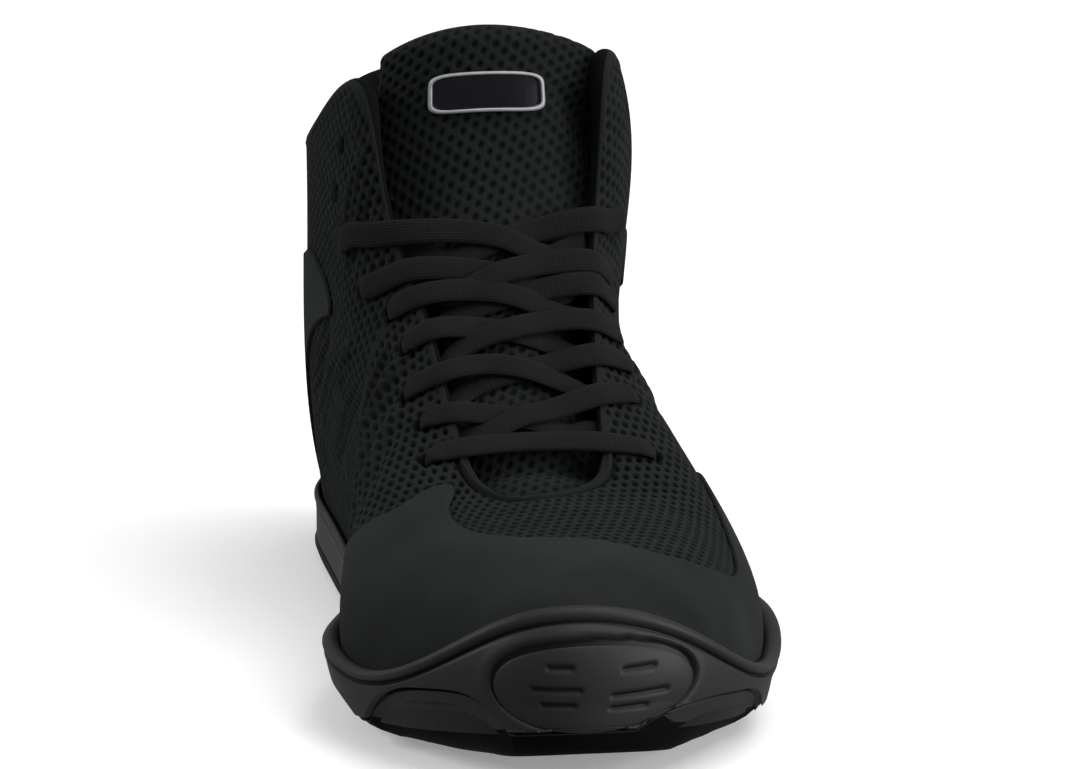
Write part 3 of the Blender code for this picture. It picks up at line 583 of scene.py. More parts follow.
# Eyelets, counted from the toe, as rib and share on each side. Rows above the laced ones stay empty.
eyelets = {
    "outer": ((3.58, 0.790), (4.28, 0.830), (4.68, 0.825), (4.98, 0.850), (5.52, 0.840), (5.80, 0.850),
              (6.44, 0.760), (6.98, 0.775), (7.02, 0.875)),
    "inner": ((16.56, 0.870), (16.08, 0.890), (15.60, 0.850), (15.12, 0.895), (14.62, 0.890), (14.02, 0.790),
              (13.34, 0.710), (12.98, 0.775), (12.96, 0.875)),
    "throatRibs": (3.42, 4.02, 4.44, 4.86, 5.27, 5.66, 6.05), "rim": (1.5, 2.6), "depth": 3.2,
}


def throatRib(row, side):  # rib where a row meets the throat. The outer side is +1, the inner -1
    rib = np.interp(row, np.arange(len(eyelets["throatRibs"])), eyelets["throatRibs"])
    return rib if side > 0 else ribCount - rib


def eyeletPlace(row, side):
    rib, share = eyelets["outer" if side > 0 else "inner"][row]
    return np.array(rib), np.array(share)


def eyeletWells(points):  # 1 in an eyelet's hole and 0 away from it
    well = np.zeros(points.shape[:-1])
    for row in range(len(eyelets["outer"])):
        for side in (1, -1):
            middle = ribPoint(*eyeletPlace(row, side))
            distance = np.linalg.norm(points - middle, axis=-1)
            well = np.maximum(well, 1 - smoothStep(*eyelets["rim"], distance))
    return well


# Creases: rib and share of each end, then width and height in millimetres. Ridges stand up, troughs go in.
creases = (
    (15.16, 0.88, 15.10, 0.52, 2.4, 2.8),     # inner fold that runs down from the fourth eyelet
    (15.12, 0.60, 15.42, 0.14, 3.2, 2.2),
    (14.96, 0.82, 14.72, 0.44, 3.0, -3.2),
    (14.76, 0.52, 14.90, 0.14, 4.2, -2.4),
    (15.40, 0.80, 15.34, 0.46, 1.9, -1.2),
    (15.58, 0.82, 15.62, 0.44, 2.0, 1.4),     # inner fold from the third eyelet
    (15.82, 0.78, 15.88, 0.46, 2.0, -1.0),
    (14.50, 0.58, 13.40, 0.18, 3.2, -2.8),    # slack cloth at the inner waist
    (14.10, 0.66, 13.70, 0.42, 2.6, 1.8),
    (13.60, 0.50, 12.74, 0.22, 3.4, 1.8),
    (13.16, 0.50, 12.60, 0.28, 2.6, -1.6),
    (13.75, 0.94, 13.62, 0.70, 1.8, -1.4),    # soft folds at the inner collar's front edge
    (13.45, 0.96, 13.30, 0.74, 1.8, 1.0),
    (4.86, 0.93, 5.00, 0.56, 2.2, 1.0),       # outer fold from the fourth eyelet
    (4.70, 0.90, 4.80, 0.55, 2.2, -0.8),
    (5.55, 0.70, 5.65, 0.30, 3.2, -1.3),      # slack cloth at the outer waist
    (5.95, 0.64, 6.05, 0.28, 2.8, 0.9),
    (6.35, 0.60, 6.40, 0.26, 3.0, -1.1),
)


def creaseLift(points):
    # Sum of soft humps and hollows about straight lines on the surface, fading at both ends.
    lift = np.zeros(points.shape[:-1])
    for startRib, startShare, endRib, endShare, width, height in creases:
        start = ribPoint(np.array(startRib), np.array(startShare))
        end = ribPoint(np.array(endRib), np.array(endShare))
        way = end - start
        at = (points - start) @ way / (way @ way)
        near = start + np.clip(at, 0.0, 1.0)[..., None] * way
        distance = np.linalg.norm(points - near, axis=-1)
        lift += height * bell(distance, width) * smoothStep(-0.1, 0.25, at) * (1 - smoothStep(0.75, 1.1, at))
    return lift


# Upper: a front and a back panel, each a closed wall with its rounded rim and its lining
panels = {
    "vampPanel": {"ribs": (-5.4, 5.4), "columns": 600, "evenAt": 0.7, "turn": 6.0},
    "quarterPanel": {"ribs": (5.4, 14.6), "columns": 540, "evenAt": 0.7, "turn": 35.0},
    "flatGrid": (61, 21), "flatSteps": 1500, "flatPull": 0.12,
    "hiddenRows": 8, "clothRows": 124, "rimRows": 8, "liningRows": 18,
    "edgeFade": (0.5, 1.4), "edgeBead": (0.2, 0.8), "seamFade": (0.4, 1.6), "creaseFade": 6.0,
    "throatSpan": (2.9, 3.6), "throatLine": (2.1, 0.5, 1.0), "throatBead": 0.5,
    "vampAxis": (16.0, 0.45, 200.0), "instep": (150.0, 215.0, 200.0), "heelTurn": (40.0, 62.0),
    "heelRise": 1.03, "lowestShare": 0.02,
}
toeCapEdge = (
    (-4.9, 0.12), (-4.4, 0.27), (-3.9, 0.42), (-3.5, 0.56), (-3.12, 0.70), (-2.9, 0.84), (-2.7, 0.905),
    (-2.4, 0.905), (-1.9, 0.83), (-1.1, 0.755), (-0.5, 0.74), (0.1, 0.72), (0.8, 0.575), (1.6, 0.455),
    (2.2, 0.395), (2.6, 0.395), (3.1, 0.44), (3.7, 0.49), (4.2, 0.50), (4.7, 0.40), (5.3, 0.13),
)
counterEdges = (  # ribs forward from the heel, then the shares where the counter starts and ends
    (0.00, 0.03, 0.720), (0.35, 0.03, 0.720), (0.70, 0.03, 0.720), (1.05, 0.03, 0.720),
    (1.40, 0.03, 0.718), (1.70, 0.03, 0.714), (1.92, 0.04, 0.710), (2.06, 0.16, 0.706),
    (2.20, 0.33, 0.698), (2.40, 0.415, 0.676), (2.58, 0.450, 0.642), (2.78, 0.468, 0.603),
    (2.98, 0.485, 0.574), (3.14, 0.502, 0.556), (3.26, 0.522, 0.540),
)


def springs(shape):  # pairs of neighbours in a grid: along, across and on both diagonals
    sets = []
    for step in ((1, 0), (0, 1), (1, 1), (1, -1)):
        first = tuple(slice(max(0, -d), n - max(0, d)) for d, n in zip(step, shape))
        other = tuple(slice(max(0, d), n - max(0, -d)) for d, n in zip(step, shape))
        sets.append((first, other))
    return sets


def laidFlat(points, start):
    # Cloth laid flat: a coarse grid of springs settles until each is as long as it is on the shoe.
    flat = np.stack(start, axis=-1)
    sets = springs(points.shape[:2])
    lengths = [np.linalg.norm(points[b] - points[a], axis=-1, keepdims=True) for a, b in sets]
    for _ in range(panels["flatSteps"]):
        move = np.zeros(flat.shape)
        for (a, b), length in zip(sets, lengths):
            gap = flat[b] - flat[a]
            pull = gap * (1 - length / np.maximum(1e-6, np.linalg.norm(gap, axis=-1, keepdims=True)))
            move[a] += pull
            move[b] -= pull
        flat += panels["flatPull"] * move
    return flat


def refined(grid, columns, rows):  # coarse grid of columns and rows, smoothly filled in
    count, high, parts = grid.shape
    wide = openSpline(grid.reshape(count, -1), np.linspace(0, count - 1, columns))
    tall = np.swapaxes(wide.reshape(columns, high, parts), 0, 1).reshape(high, -1)
    return openSpline(tall, np.linspace(0, high - 1, rows)).reshape(rows, columns, parts)


def vampCloth(points):
    # The vamp laid flat: girth round the foot's axis, and distance round the bend of the instep.
    along, across, up = np.moveaxis(points, -1, 0)
    axisLow, axisSlope, axisFrom = panels["vampAxis"]
    axisUp = axisLow + axisSlope * np.maximum(0.0, axisFrom - along)
    girth = np.hypot(across, up - axisUp) * np.arctan2(across, up - axisUp)
    radius, bendAlong, bendUp = panels["instep"]
    return girth, radius * np.arctan2(bendAlong - along, bendUp - up)


def quarterCloth(points):
    # The back laid flat: way round the heel, and height.
    along, across, up = np.moveaxis(points, -1, 0)
    radius, sideFrom = panels["heelTurn"]
    beside = np.sign(across) * (along - radius + sideFrom)
    around = np.where(along > radius, beside, radius * np.arctan2(across, radius - along))
    return around, panels["heelRise"] * up


def makePanel(name, clothFrom, cloth):
    # Section of the wall: up the outside, over a half-round rim at the mouth, down the lining.
    look = panels[name]
    rib = evenRibs(*look["ribs"], look["evenAt"], look["columns"])
    low = clothFrom(rib)
    climb = np.linspace(0.0, 1.0, panels["clothRows"])[:, None]
    hidden = np.linspace(0.0, 1.0, panels["hiddenRows"], endpoint=False)[:, None]
    share = np.concatenate([low * hidden, low + (1 - low) * climb])
    ribs = np.broadcast_to(rib, share.shape)
    points = ribPoint(ribs, share)
    outwards, upWay = ribFrame(ribs, share)
    steps = np.linalg.norm(np.diff(points, axis=0), axis=-1)
    toEdge = np.concatenate([np.cumsum(steps[::-1], axis=0)[::-1], np.zeros((1, len(rib)))])
    columnStep = np.linalg.norm(points[:, 1] - points[:, 0], axis=-1, keepdims=True)
    toSeam = columnStep * np.minimum(np.arange(len(rib)), np.arange(len(rib))[::-1])
    well = eyeletWells(points)
    fade = smoothStep(*panels["edgeFade"], toEdge) * smoothStep(*panels["seamFade"], toSeam) * (1 - well)
    fade[:panels["hiddenRows"]] = 0.0
    throat = 1 - smoothStep(*panels["throatSpan"], np.abs(rib))
    lineAt, lineWidth, lineDepth = panels["throatLine"]
    line = bell(toEdge - lineAt, lineWidth) * throat
    fade *= 1 - throat * (1 - smoothStep(lineAt, lineAt + 2 * lineWidth, toEdge))
    columns, rows = panels["flatGrid"]
    coarseRib = evenRibs(*look["ribs"], look["evenAt"], columns)
    coarseLow = clothFrom(coarseRib)[:, None]
    coarse = coarseLow + (1 - coarseLow) * np.linspace(0.0, 1.0, rows)
    coarse = ribPoint(np.broadcast_to(coarseRib[:, None], coarse.shape), coarse)
    laid = refined(laidFlat(coarse, cloth(coarse)), len(rib), panels["clothRows"])
    cells = np.zeros(share.shape)
    cells[panels["hiddenRows"]:] = cellField(laid[..., 0], laid[..., 1], look["turn"])
    cells *= fade
    beadHeight, beadWidth = panels["edgeBead"]
    bead = beadHeight + panels["throatBead"] * throat
    bead = bead * bell(toEdge - beadWidth, beadWidth * 0.7) * smoothStep(0.0, beadWidth, toEdge)
    lift = creaseLift(points) * smoothStep(0.0, panels["creaseFade"], toEdge)
    lift = lift - weave["depth"] * cells - eyelets["depth"] * well + bead - lineDepth * line
    outer = points + outwards * lift[..., None]
    top = np.ones(len(rib))
    half = wallThickness(rib, top) / 2
    angles = np.linspace(0.0, np.pi, panels["rimRows"] + 2)[1:-1, None]
    sink = (half * (np.cos(angles) - 1))[..., None]
    rise = (half * np.sin(angles))[..., None]
    rim = points[-1] + outwards[-1] * sink + upWay[-1] * rise
    inShare, inRibs = np.broadcast_arrays(np.linspace(1.0, 0.0, panels["liningRows"])[:, None], rib)
    slack = creaseLift(ribPoint(inRibs, inShare)) * smoothStep(1.0, 0.85, inShare)
    inner = upperPoint(inRibs, inShare, slack - wallThickness(inRibs, inShare))
    rows = np.concatenate([outer, rim, inner])
    # Painted shade: the hole value darkens the open cells, the eyelet wells and the line below the throat's
    # edge, where shadow falls.
    depth = np.zeros(rows.shape[:2])
    depth[:len(outer)] = np.maximum(np.maximum(cells, well), line)
    inside = np.repeat(np.arange(len(rows)) > len(outer), len(rib) - 1)
    makePiece(name, rows, wallFaces(*depth.shape), [airMesh, lining], ["upper"],
              {"hole": depth}, None, np.concatenate([inside, [True, True]]))


def vampLow(rib):  # the vamp's cloth starts a little below the toe cap's edge
    edge = tableValue(toeCapEdge, rib)
    low = (edge - 0.07) * smoothStep(-5.0, -4.2, rib) * smoothStep(5.4, 4.6, rib)
    return np.maximum(panels["lowestShare"], low)


def quarterLow(rib):  # behind, the cloth starts below the counter's edge
    return np.maximum(panels["lowestShare"], 0.64 * smoothStep(2.1, 1.4, np.abs(rib - heelRib)))


makePanel("vampPanel", vampLow, vampCloth)
makePanel("quarterPanel", quarterLow, quarterCloth)


# Nubuck overlays: a skin on the upper with a rounded edge
overlay = {
    "thick": 0.95, "under": 0.06, "edge": 0.8, "edgeRows": 6, "rows": 44, "backRows": 16,
    "capLow": 0.03, "capEvenAt": 0.3, "capColumns": 330, "counterColumns": 341,
}


def makeOverlay(name, rib, low, high, node):
    # Section: round the lower edge, up over the face, round the upper edge, and back down against the upper.
    speed = np.linalg.norm(ribPoint(rib, high + 0.005) - ribPoint(rib, high - 0.005), axis=-1) / 0.01
    edge = np.minimum(overlay["edge"] / speed, (high - low) * 0.4)
    turn = np.linspace(0.0, np.pi / 2, overlay["edgeRows"] + 1)[:, None]
    level = np.ones(rib.shape)
    height = overlay["thick"] - overlay["under"]
    climb = np.linspace(0.0, 1.0, overlay["rows"])[1:-1, None]
    back = np.linspace(0.0, 1.0, overlay["backRows"] + 1)[1:-1, None]
    share = np.concatenate([
        low + edge * (1 - np.cos(turn)),
        low + edge + (high - low - 2 * edge) * climb,
        high - edge * (1 - np.cos(turn[::-1])),
        high + (low - high) * back,
    ])
    lift = np.concatenate([
        overlay["under"] + height * np.sin(turn) * level,
        overlay["thick"] + 0 * climb * level,
        overlay["under"] + height * np.sin(turn[::-1]) * level,
        overlay["under"] + 0 * back * level,
    ])
    points = upperPoint(np.broadcast_to(rib, share.shape), share, lift)
    makePiece(name, points, wallFaces(*share.shape), [nubuck], [node])


capRibs = evenRibs(toeCapEdge[0][0], toeCapEdge[-1][0], overlay["capEvenAt"], overlay["capColumns"])
capLow = np.full(len(capRibs), overlay["capLow"])
makeOverlay("toeCap", capRibs, capLow, tableValue(toeCapEdge, capRibs), "toe_cap")
counterTable = np.array(counterEdges)
farthest = counterTable[-1, 0]
counterReach = np.linspace(-farthest, farthest, overlay["counterColumns"])
counterLow, counterHigh = [tableValue(counterTable[:, [0, k]], np.abs(counterReach)) for k in (1, 2)]
makeOverlay("heelCounter", heelRib + counterReach, counterLow, counterHigh, "heel_counter")


# Sole
sole = {
    # band: height of the tread's strip of painted shade at the sides and at the toe.
    "sideOut": (5.0, 2.1), "sideLine": 4.8, "toeLine": 4.2, "band": (6.6, 12.0), "frontEnds": (4.2, 6.6),
    "lean": 3.0, "leanBelow": 3.0, "podPower": 3.0, "podRecess": (1.4, -0.4), "podThick": 0.9,
    "podInset": 9.0, "partingGap": 0.6, "outsole": 5.0, "edgeRound": 0.6,
    "pods": ((1.85, 1.35, 0.70, 6.6), (3.85, 0.85, 0.85, 5.4), (-4.0, 0.80, 0.80, 5.4),
             (-1.95, 1.02, 1.08, 9.8)),
    "treadSpring": 8.8, "treadPower": 2.6, "treadRings": 22, "middleShort": 0.06,
    "edge": ((0.0, 1.0), (0.25, 0.82), (0.7, 0.66), (1.2, 0.52), (1.8, 0.36), (2.5, 0.21),
             (3.6, 0.08), (5.2, 0.0)),
    "grooves": (262.0, 246.0, 230.0, 186.0, 172.0, 62.0, 46.0), "grooveWidth": 4.0, "grooveDepth": 2.2,
    "bead": (1.15, 0.64, 0.41, 1.15), "lipGroove": (2.6, 0.42, 0.30), "wallRows": 44,
    "ringColumns": 760, "toeDense": (1.2, 2.2), "cutBack": (0.5, 2.2), "toeCutShare": 0.35,
    "ovalUp": 25.0, "ovalHalf": (1.14, 9.8), "ovalDepth": 1.5, "frameBead": (0.15, 1.07, 0.05),
}


def fromToe(rib):  # ribs counted either way from the toe, + on the outer side
    return np.mod(rib + heelRib, ribCount) - heelRib


def byRib(values, rib):  # first value in front, second round the heel
    return values[0] + (values[1] - values[0]) * smoothStep(*sole["frontEnds"], np.abs(fromToe(rib)))


def sideOut(rib):  # how far the side stands out from the upper
    return byRib(sole["sideOut"], rib)


def podHeight(rib):  # low arches where the outsole shows: rib of the middle, reach to toe and heel, rise
    total = np.zeros(rib.shape)
    around = fromToe(rib)
    for middle, toToe, toHeel, rise in sole["pods"]:
        gap = np.sign(middle) * around - abs(middle)
        gap = np.abs(gap / np.where(gap < 0, toToe, toHeel))
        total += rise * np.maximum(0.0, 1 - gap ** sole["podPower"])
    return total


def sideLine(rib, pods=1.0):  # height on the side where midsole and outsole part
    toe = np.abs(fromToe(rib))
    low = sole["toeLine"] + (sole["sideLine"] - sole["toeLine"]) * smoothStep(0.8, 3.0, toe)
    return toeSpring(ribValues(rib)["footAlong"]) + low + pods * podHeight(rib)


def sideLean(rib, up):  # how far the side has drawn in at a height: beside the toe pad and along the ball
    toe = np.abs(fromToe(rib))
    lip, low = ribValues(rib)["lip"], sideLine(rib, 0.0) - sole["leanBelow"]
    fall = np.clip((lip - up) / (lip - low), 0.0, 1.2)
    return sole["lean"] * smoothStep(1.0, 2.0, toe) * (1 - smoothStep(4.2, 6.0, toe)) * fall**1.5


def treadUnder(along):  # the tread's underside, lower at the toe than the bed above it
    share = np.maximum(0.0, (along - last["springStart"]) / (last["length"] - last["springStart"]))
    return underside(along) - toeSpring(along) + sole["treadSpring"] * share ** sole["treadPower"]


def soleRibs():  # closed ring of ribs, about twice as close at the toe
    count = sole["ringColumns"]
    even = np.linspace(0.0, 1.0, count, endpoint=False)
    fine = np.linspace(-heelRib, heelRib, 2000)
    closer, span = sole["toeDense"]
    weight = 1 + closer * bell(fine, span)
    arc = np.concatenate([[0.0], np.cumsum((weight[1:] + weight[:-1]) / 2)])
    ribs = np.interp(even * arc[-1], arc, fine)
    return np.roll(ribs, -(count // 2))


def partingRings(rib, shift):  # face between midsole and outsole: down behind the pods, then level
    out = sideOut(rib) - byRib(sole["podRecess"], rib) - sole["podThick"] - shift
    high, low = sideLine(rib) + shift, sideLine(rib, 0.0) - 0.4 + shift
    inner = sidePoint(rib, footbed(ribValues(rib)["footAlong"]), -sole["podInset"])
    inner[:, 2] = toeSpring(inner[:, 0]) + sole["outsole"] + shift
    return [sidePoint(rib, high, out - sideLean(rib, high)),
            sidePoint(rib, low, out - sole["podThick"] - sideLean(rib, low)), inner]


def ovalReach(rib, up):  # distance from the middle of the toe's oval, 1 at its edge
    return np.hypot(fromToe(rib) / sole["ovalHalf"][0], (up - sole["ovalUp"]) / sole["ovalHalf"][1])


def makeMidsole():
    # Rings: the footbed's edge, up the inner wall, over the bead, into the groove, down the side, under.
    rib = soleRibs()
    v = ribValues(rib)
    bed = footbed(v["footAlong"])
    out = sideOut(rib)
    floor = sidePoint(rib, bed, 0.48 * out)
    floor[:, 2] = bed - 0.3
    rings = [floor]
    cuts = []
    beadDown, beadOut, beadWide, beadTall = sole["bead"]
    for climb in (0.3, 0.6, 0.85):
        rings.append(wallPoint(rib, bed + (v["lip"] - beadDown - bed) * climb, (beadOut - beadWide) * out))
    for angle in np.radians(np.linspace(0, 215, 15)):
        reachOut = (beadOut - beadWide * np.cos(angle)) * out
        rings.append(wallPoint(rib, v["lip"] - beadDown + beadTall * np.sin(angle), reachOut))
    down, width, depth = sole["lipGroove"]
    for across, share in ((-0.9, 0.5), (-0.5, 0.9), (0.0, 1.0), (0.5, 0.9), (0.9, 0.3), (1.5, 0.05)):
        cuts.append((len(rings), share))
        rings.append(wallPoint(rib, v["lip"] - down - across * width, out * (1 - depth * share)))
    high = v["lip"] - down - 2.6 * width
    line = sideLine(rib) + sole["partingGap"] / 2
    wallUp = high + (line + sole["edgeRound"] - high) * np.linspace(0.0, 1.0, sole["wallRows"])[:, None]
    wallStart = len(rings)
    frameHeight, frameAt, frameWidth = sole["frameBead"]
    for up in wallUp:
        oval = ovalReach(rib, up)
        recess = sole["ovalDepth"] * (1 - smoothStep(0.97, 1.01, oval))
        frameBead = frameHeight * bell(oval - frameAt, frameWidth)
        rings.append(wallPoint(rib, up, out - recess + frameBead - sideLean(rib, up)))
    lean = sideLean(rib, line)
    rings.append(sidePoint(rib, line + sole["edgeRound"], out - lean))
    rings.append(sidePoint(rib, line, out - lean - sole["edgeRound"]))
    rings += partingRings(rib, sole["partingGap"] / 2)
    rows = np.stack(rings)
    # Painted shade: darkens the lip groove's cuts and the whole recess round the toe oval, so a dark
    # crescent shows above the pad.
    groove = np.zeros(rows.shape[:2])
    for ring, share in cuts:
        groove[ring] = smoothStep(0.3, 0.9, share)
    wall = slice(wallStart, wallStart + sole["wallRows"])
    groove[wall] = 1 - smoothStep(0.975, 1.005, ovalReach(rib, wallUp))
    makePiece("midsoleCup", rows, bedFaces(*groove.shape), [midsoleRubber], ["midsole"],
              {"groove": groove})


def makeOutsole():
    # Rings from the parting face round the pods' edge and down to the floor, then in to the middle line.
    # The lower edge is cut back far more at the sides of the forefoot than behind or at the toe.
    rib = soleRibs()
    line = sideLine(rib) - sole["partingGap"] / 2
    out = sideOut(rib) - byRib(sole["podRecess"], rib)
    toe = np.abs(fromToe(rib))
    least, most = sole["cutBack"]
    atToe = sole["toeCutShare"]
    cutBack = least + (most - least) * smoothStep(5.5, 3.6, toe)
    cutBack = cutBack * (atToe + (1 - atToe) * smoothStep(0.6, 1.8, toe))
    rings = partingRings(rib, -sole["partingGap"] / 2)[::-1]
    for inset, fall in ((0.5, 0.05), (0.12, 0.25), (0.0, 0.6)):
        rings.append(sidePoint(rib, line - fall, out - inset - sideLean(rib, line)))
    ground = treadUnder(rings[-1][:, 0])
    sideRings = len(rings) + 3
    sideBand, toeBand = sole["band"]
    band = toeBand + (sideBand - toeBand) * smoothStep(0.5, 1.0, toe)
    band = np.minimum(band / (line - ground), 0.95)   # share of the height painted near-black as shade on the tread, most at the toe
    edgeInsets, edgeRises = np.array(sole["edge"][::-1]).T
    for step in (1.7, 1.35, 1.04, 1.0, 0.7, 0.42, 0.16, 0.0):
        rise = np.where(step > 1, band + (1 - band) * (step - 1), band * step)
        lean = sideLean(rib, ground + rise * (line - ground))
        ring = sidePoint(rib, line, out - lean - np.interp(rise, edgeRises, edgeInsets) * cutBack)
        ring[:, 2] = treadUnder(ring[:, 0]) + rise * (line - ground)
        rings.append(ring)
    foot = rings[-1]
    middle = (foot + np.roll(foot[::-1], 1, axis=0)) / 2
    short = sole["middleShort"] * (middle[:, 0].mean() - middle[:, 0])
    middle[:, 0] += short   # the middle line stops short of toe and heel
    for inwards in np.linspace(0.0, 1.0, sole["treadRings"])[1:]:
        ring = foot + (middle - foot) * inwards
        cut = np.zeros(len(rib))
        for station in sole["grooves"]:
            half = sole["grooveWidth"] / 2
            cut = np.maximum(cut, 1 - smoothStep(half - 0.4, half + 0.4, np.abs(ring[:, 0] - station)))
        ring[:, 2] = treadUnder(ring[:, 0]) + sole["grooveDepth"] * cut * smoothStep(0.0, 0.12, inwards)
        rings.append(ring)
    rows = np.stack(rings)
    count, columns = rows.shape[:2]
    quads = bandQuads(count, columns, False, True)
    seam = np.arange(count * columns)
    lastRow = (count - 1) * columns
    i = np.arange(1, columns)
    seam[lastRow + i] = np.where(i > columns // 2, lastRow + columns - i, lastRow + i)
    polygons = [seam[quads]] + ringCap(0, columns)
    # Faces below the side rings take the tread rubber painted near-black as shade, for the shadowed
    # underside.
    paintedShadeFaces = np.repeat(np.arange(count - 1) >= sideRings, columns)
    faceMaterial = np.concatenate([paintedShadeFaces, np.zeros(sum(len(p) for p in polygons[1:]))])
    makePiece("outsoleTread", rows, polygons, [outsoleRubber, shadedTreadRubber], ["outsole"],
              faceMaterial=faceMaterial)


makeMidsole()
makeOutsole()

# Oval pad at the toe, with six short slots: rib and height of the middle, half lengths in ribs
toePadLook = {
    "half": (1.10, 9.0), "drop": 0.65, "edgeLift": -0.62, "dome": 0.55, "under": -1.42, "steps": 110,
    "slotHalf": 0.62, "slotDepth": 0.75,
    "slots": ((-0.30, 29.4, 0.14), (0.49, 28.6, 0.17), (-0.36, 25.1, 0.28), (0.52, 23.6, 0.30),
              (-0.34, 21.9, 0.20), (0.41, 20.9, 0.20)),
}


def roundedSquare(steps):  # grid of a square drawn out to a disc, so that it has no pole
    a, b = np.meshgrid(np.linspace(-1, 1, steps), np.linspace(-1, 1, steps), indexing="ij")
    return a * np.sqrt(1 - b * b / 2), b * np.sqrt(1 - a * a / 2)


def makeToePad():
    # Low dome over the oval: edge height plus a dome of root form, with the slots pressed in.
    look = toePadLook
    wide, tall = roundedSquare(look["steps"])
    rib = wide * look["half"][0]
    up = sole["ovalUp"] - look["drop"] + tall * look["half"][1]
    lift = look["edgeLift"] + look["dome"] * np.sqrt(np.clip(1 - wide**2 - tall**2, 0.0, 1.0)) ** 0.8
    slot = np.zeros(rib.shape)
    for middle, height, half in look["slots"]:
        inside = smoothStep(half + 0.02, half - 0.02, np.abs(rib - middle))
        slot = np.maximum(slot, inside * bell(up - height, look["slotHalf"]))
    lift -= look["slotDepth"] * slot
    front = wallPoint(np.mod(rib, ribCount), up, sideOut(rib) + lift)
    back = wallPoint(np.mod(rib, ribCount), up, sideOut(rib) + look["under"] + 0 * lift)
    rows = np.concatenate([front, back[::-1]])
    count, columns = rows.shape[:2]
    polygons = [bandQuads(count, columns, True, False)] + sideStrips(count, columns)
    # The slots are darkened with painted shade.
    makePiece("toePad", rows, polygons, [midsoleRubber], ["toe_pad"],
              {"groove": np.concatenate([slot, 0 * slot])})


makeToePad()


# Insole: inset from the upper and height above the footbed, round its edge
insoleLook = {
    "side": ((7.0, 3.6), (5.2, 3.6), (4.4, 3.45), (3.9, 3.0), (3.6, 2.4), (3.6, 0.2), (7.0, 0.2)),
    "columns": 320,
}


def makeInsole():
    # Rings round the bed's edge, each at its inset from the upper and its height above the footbed.
    rib = np.linspace(0.0, ribCount, insoleLook["columns"], endpoint=False)
    bed = footbed(ribValues(rib)["footAlong"])
    rings = []
    for inset, rise in insoleLook["side"]:
        ring = sidePoint(rib, bed, -inset)
        ring[:, 2] = footbed(ring[:, 0]) + rise
        rings.append(ring)
    rows = np.stack(rings)
    makePiece("insoleBed", rows, bedFaces(*rows.shape[:2]), [insoleCloth], ["insole"])


makeInsole()


# Tongue: along and up of the front face's middle line, half width, fall of the edges, thickness
tongue = {
    "rows": (
        (214.0, 44.0, 15.0, 3.0, 2.5), (198.0, 46.4, 17.0, 4.5, 3.5), (181.0, 55.5, 21.0, 7.5, 4.5),
        (162.0, 69.5, 25.0, 11.0, 5.5), (143.0, 86.5, 26.8, 13.5, 6.5), (127.0, 106.5, 26.4, 12.5, 7.5),
        (118.5, 127.0, 25.8, 9.0, 9.5), (115.5, 145.0, 24.6, 7.0, 10.5),
    ),
    "arch": 4.8, "archRows": (5.2, 7.0), "top": 5.0, "topRows": 14, "topThin": 0.06, "topNarrow": 0.16,
    "topFall": 0.3, "steps": (350, 250), "frontShare": 0.8, "power": 3.2, "loopHalf": (26.0, 4.0),
    "turn": -40.0, "fill": 0.7, "cellDepth": 0.65, "fold": (6.35, 0.50, 5.1, 0.84), "foldDepth": 6.0,
    "dip": (1.92, 0.20, 3.0), "widen": 0.19, "widenRows": (4.4, 5.2),
}
tongueTable = np.array(tongue["rows"])


def tonguePoint(row, across, lift):  # front face of the tongue, row from its lower end, across from -1 to 1
    values = openSpline(tongueTable, row)
    ahead = openSpline(tongueTable, row + 0.05) - openSpline(tongueTable, row - 0.05)
    way = unit(ahead[..., :2])
    back = values[..., 3] * across**2 - lift
    fall = tongue["arch"] * smoothStep(*tongue["archRows"], row) * (0.6 * across**2 + 0.4 * across**4)
    wide = 1 + tongue["widen"] * smoothStep(*tongue["widenRows"], row) * smoothStep(0.0, 1.0, across)
    return np.stack([values[..., 0] - back * way[..., 1], values[..., 2] * across * wide,
                     values[..., 1] + back * way[..., 0] - fall], axis=-1)


def roundedLoop(power, half, around, frontShare=0.5):
    # Rounded rectangle from -1 to 1 both ways, stepped by length, with that share of its points in front.
    angle = np.linspace(-np.pi / 2, 1.5 * np.pi, 8001)
    wide = np.sign(np.cos(angle)) * np.abs(np.cos(angle)) ** (2 / power)
    deep = np.sign(np.sin(angle)) * np.abs(np.sin(angle)) ** (2 / power)
    step = np.hypot(np.diff(wide) * half[0], np.diff(deep) * half[1])
    weight = np.where(deep[1:] > -0.2, frontShare, 1 - frontShare)
    length = np.concatenate([[0.0], np.cumsum(step * weight)])
    even = np.linspace(0.0, length[-1], around, endpoint=False)
    return np.interp(even, length, wide), np.interp(even, length, deep)


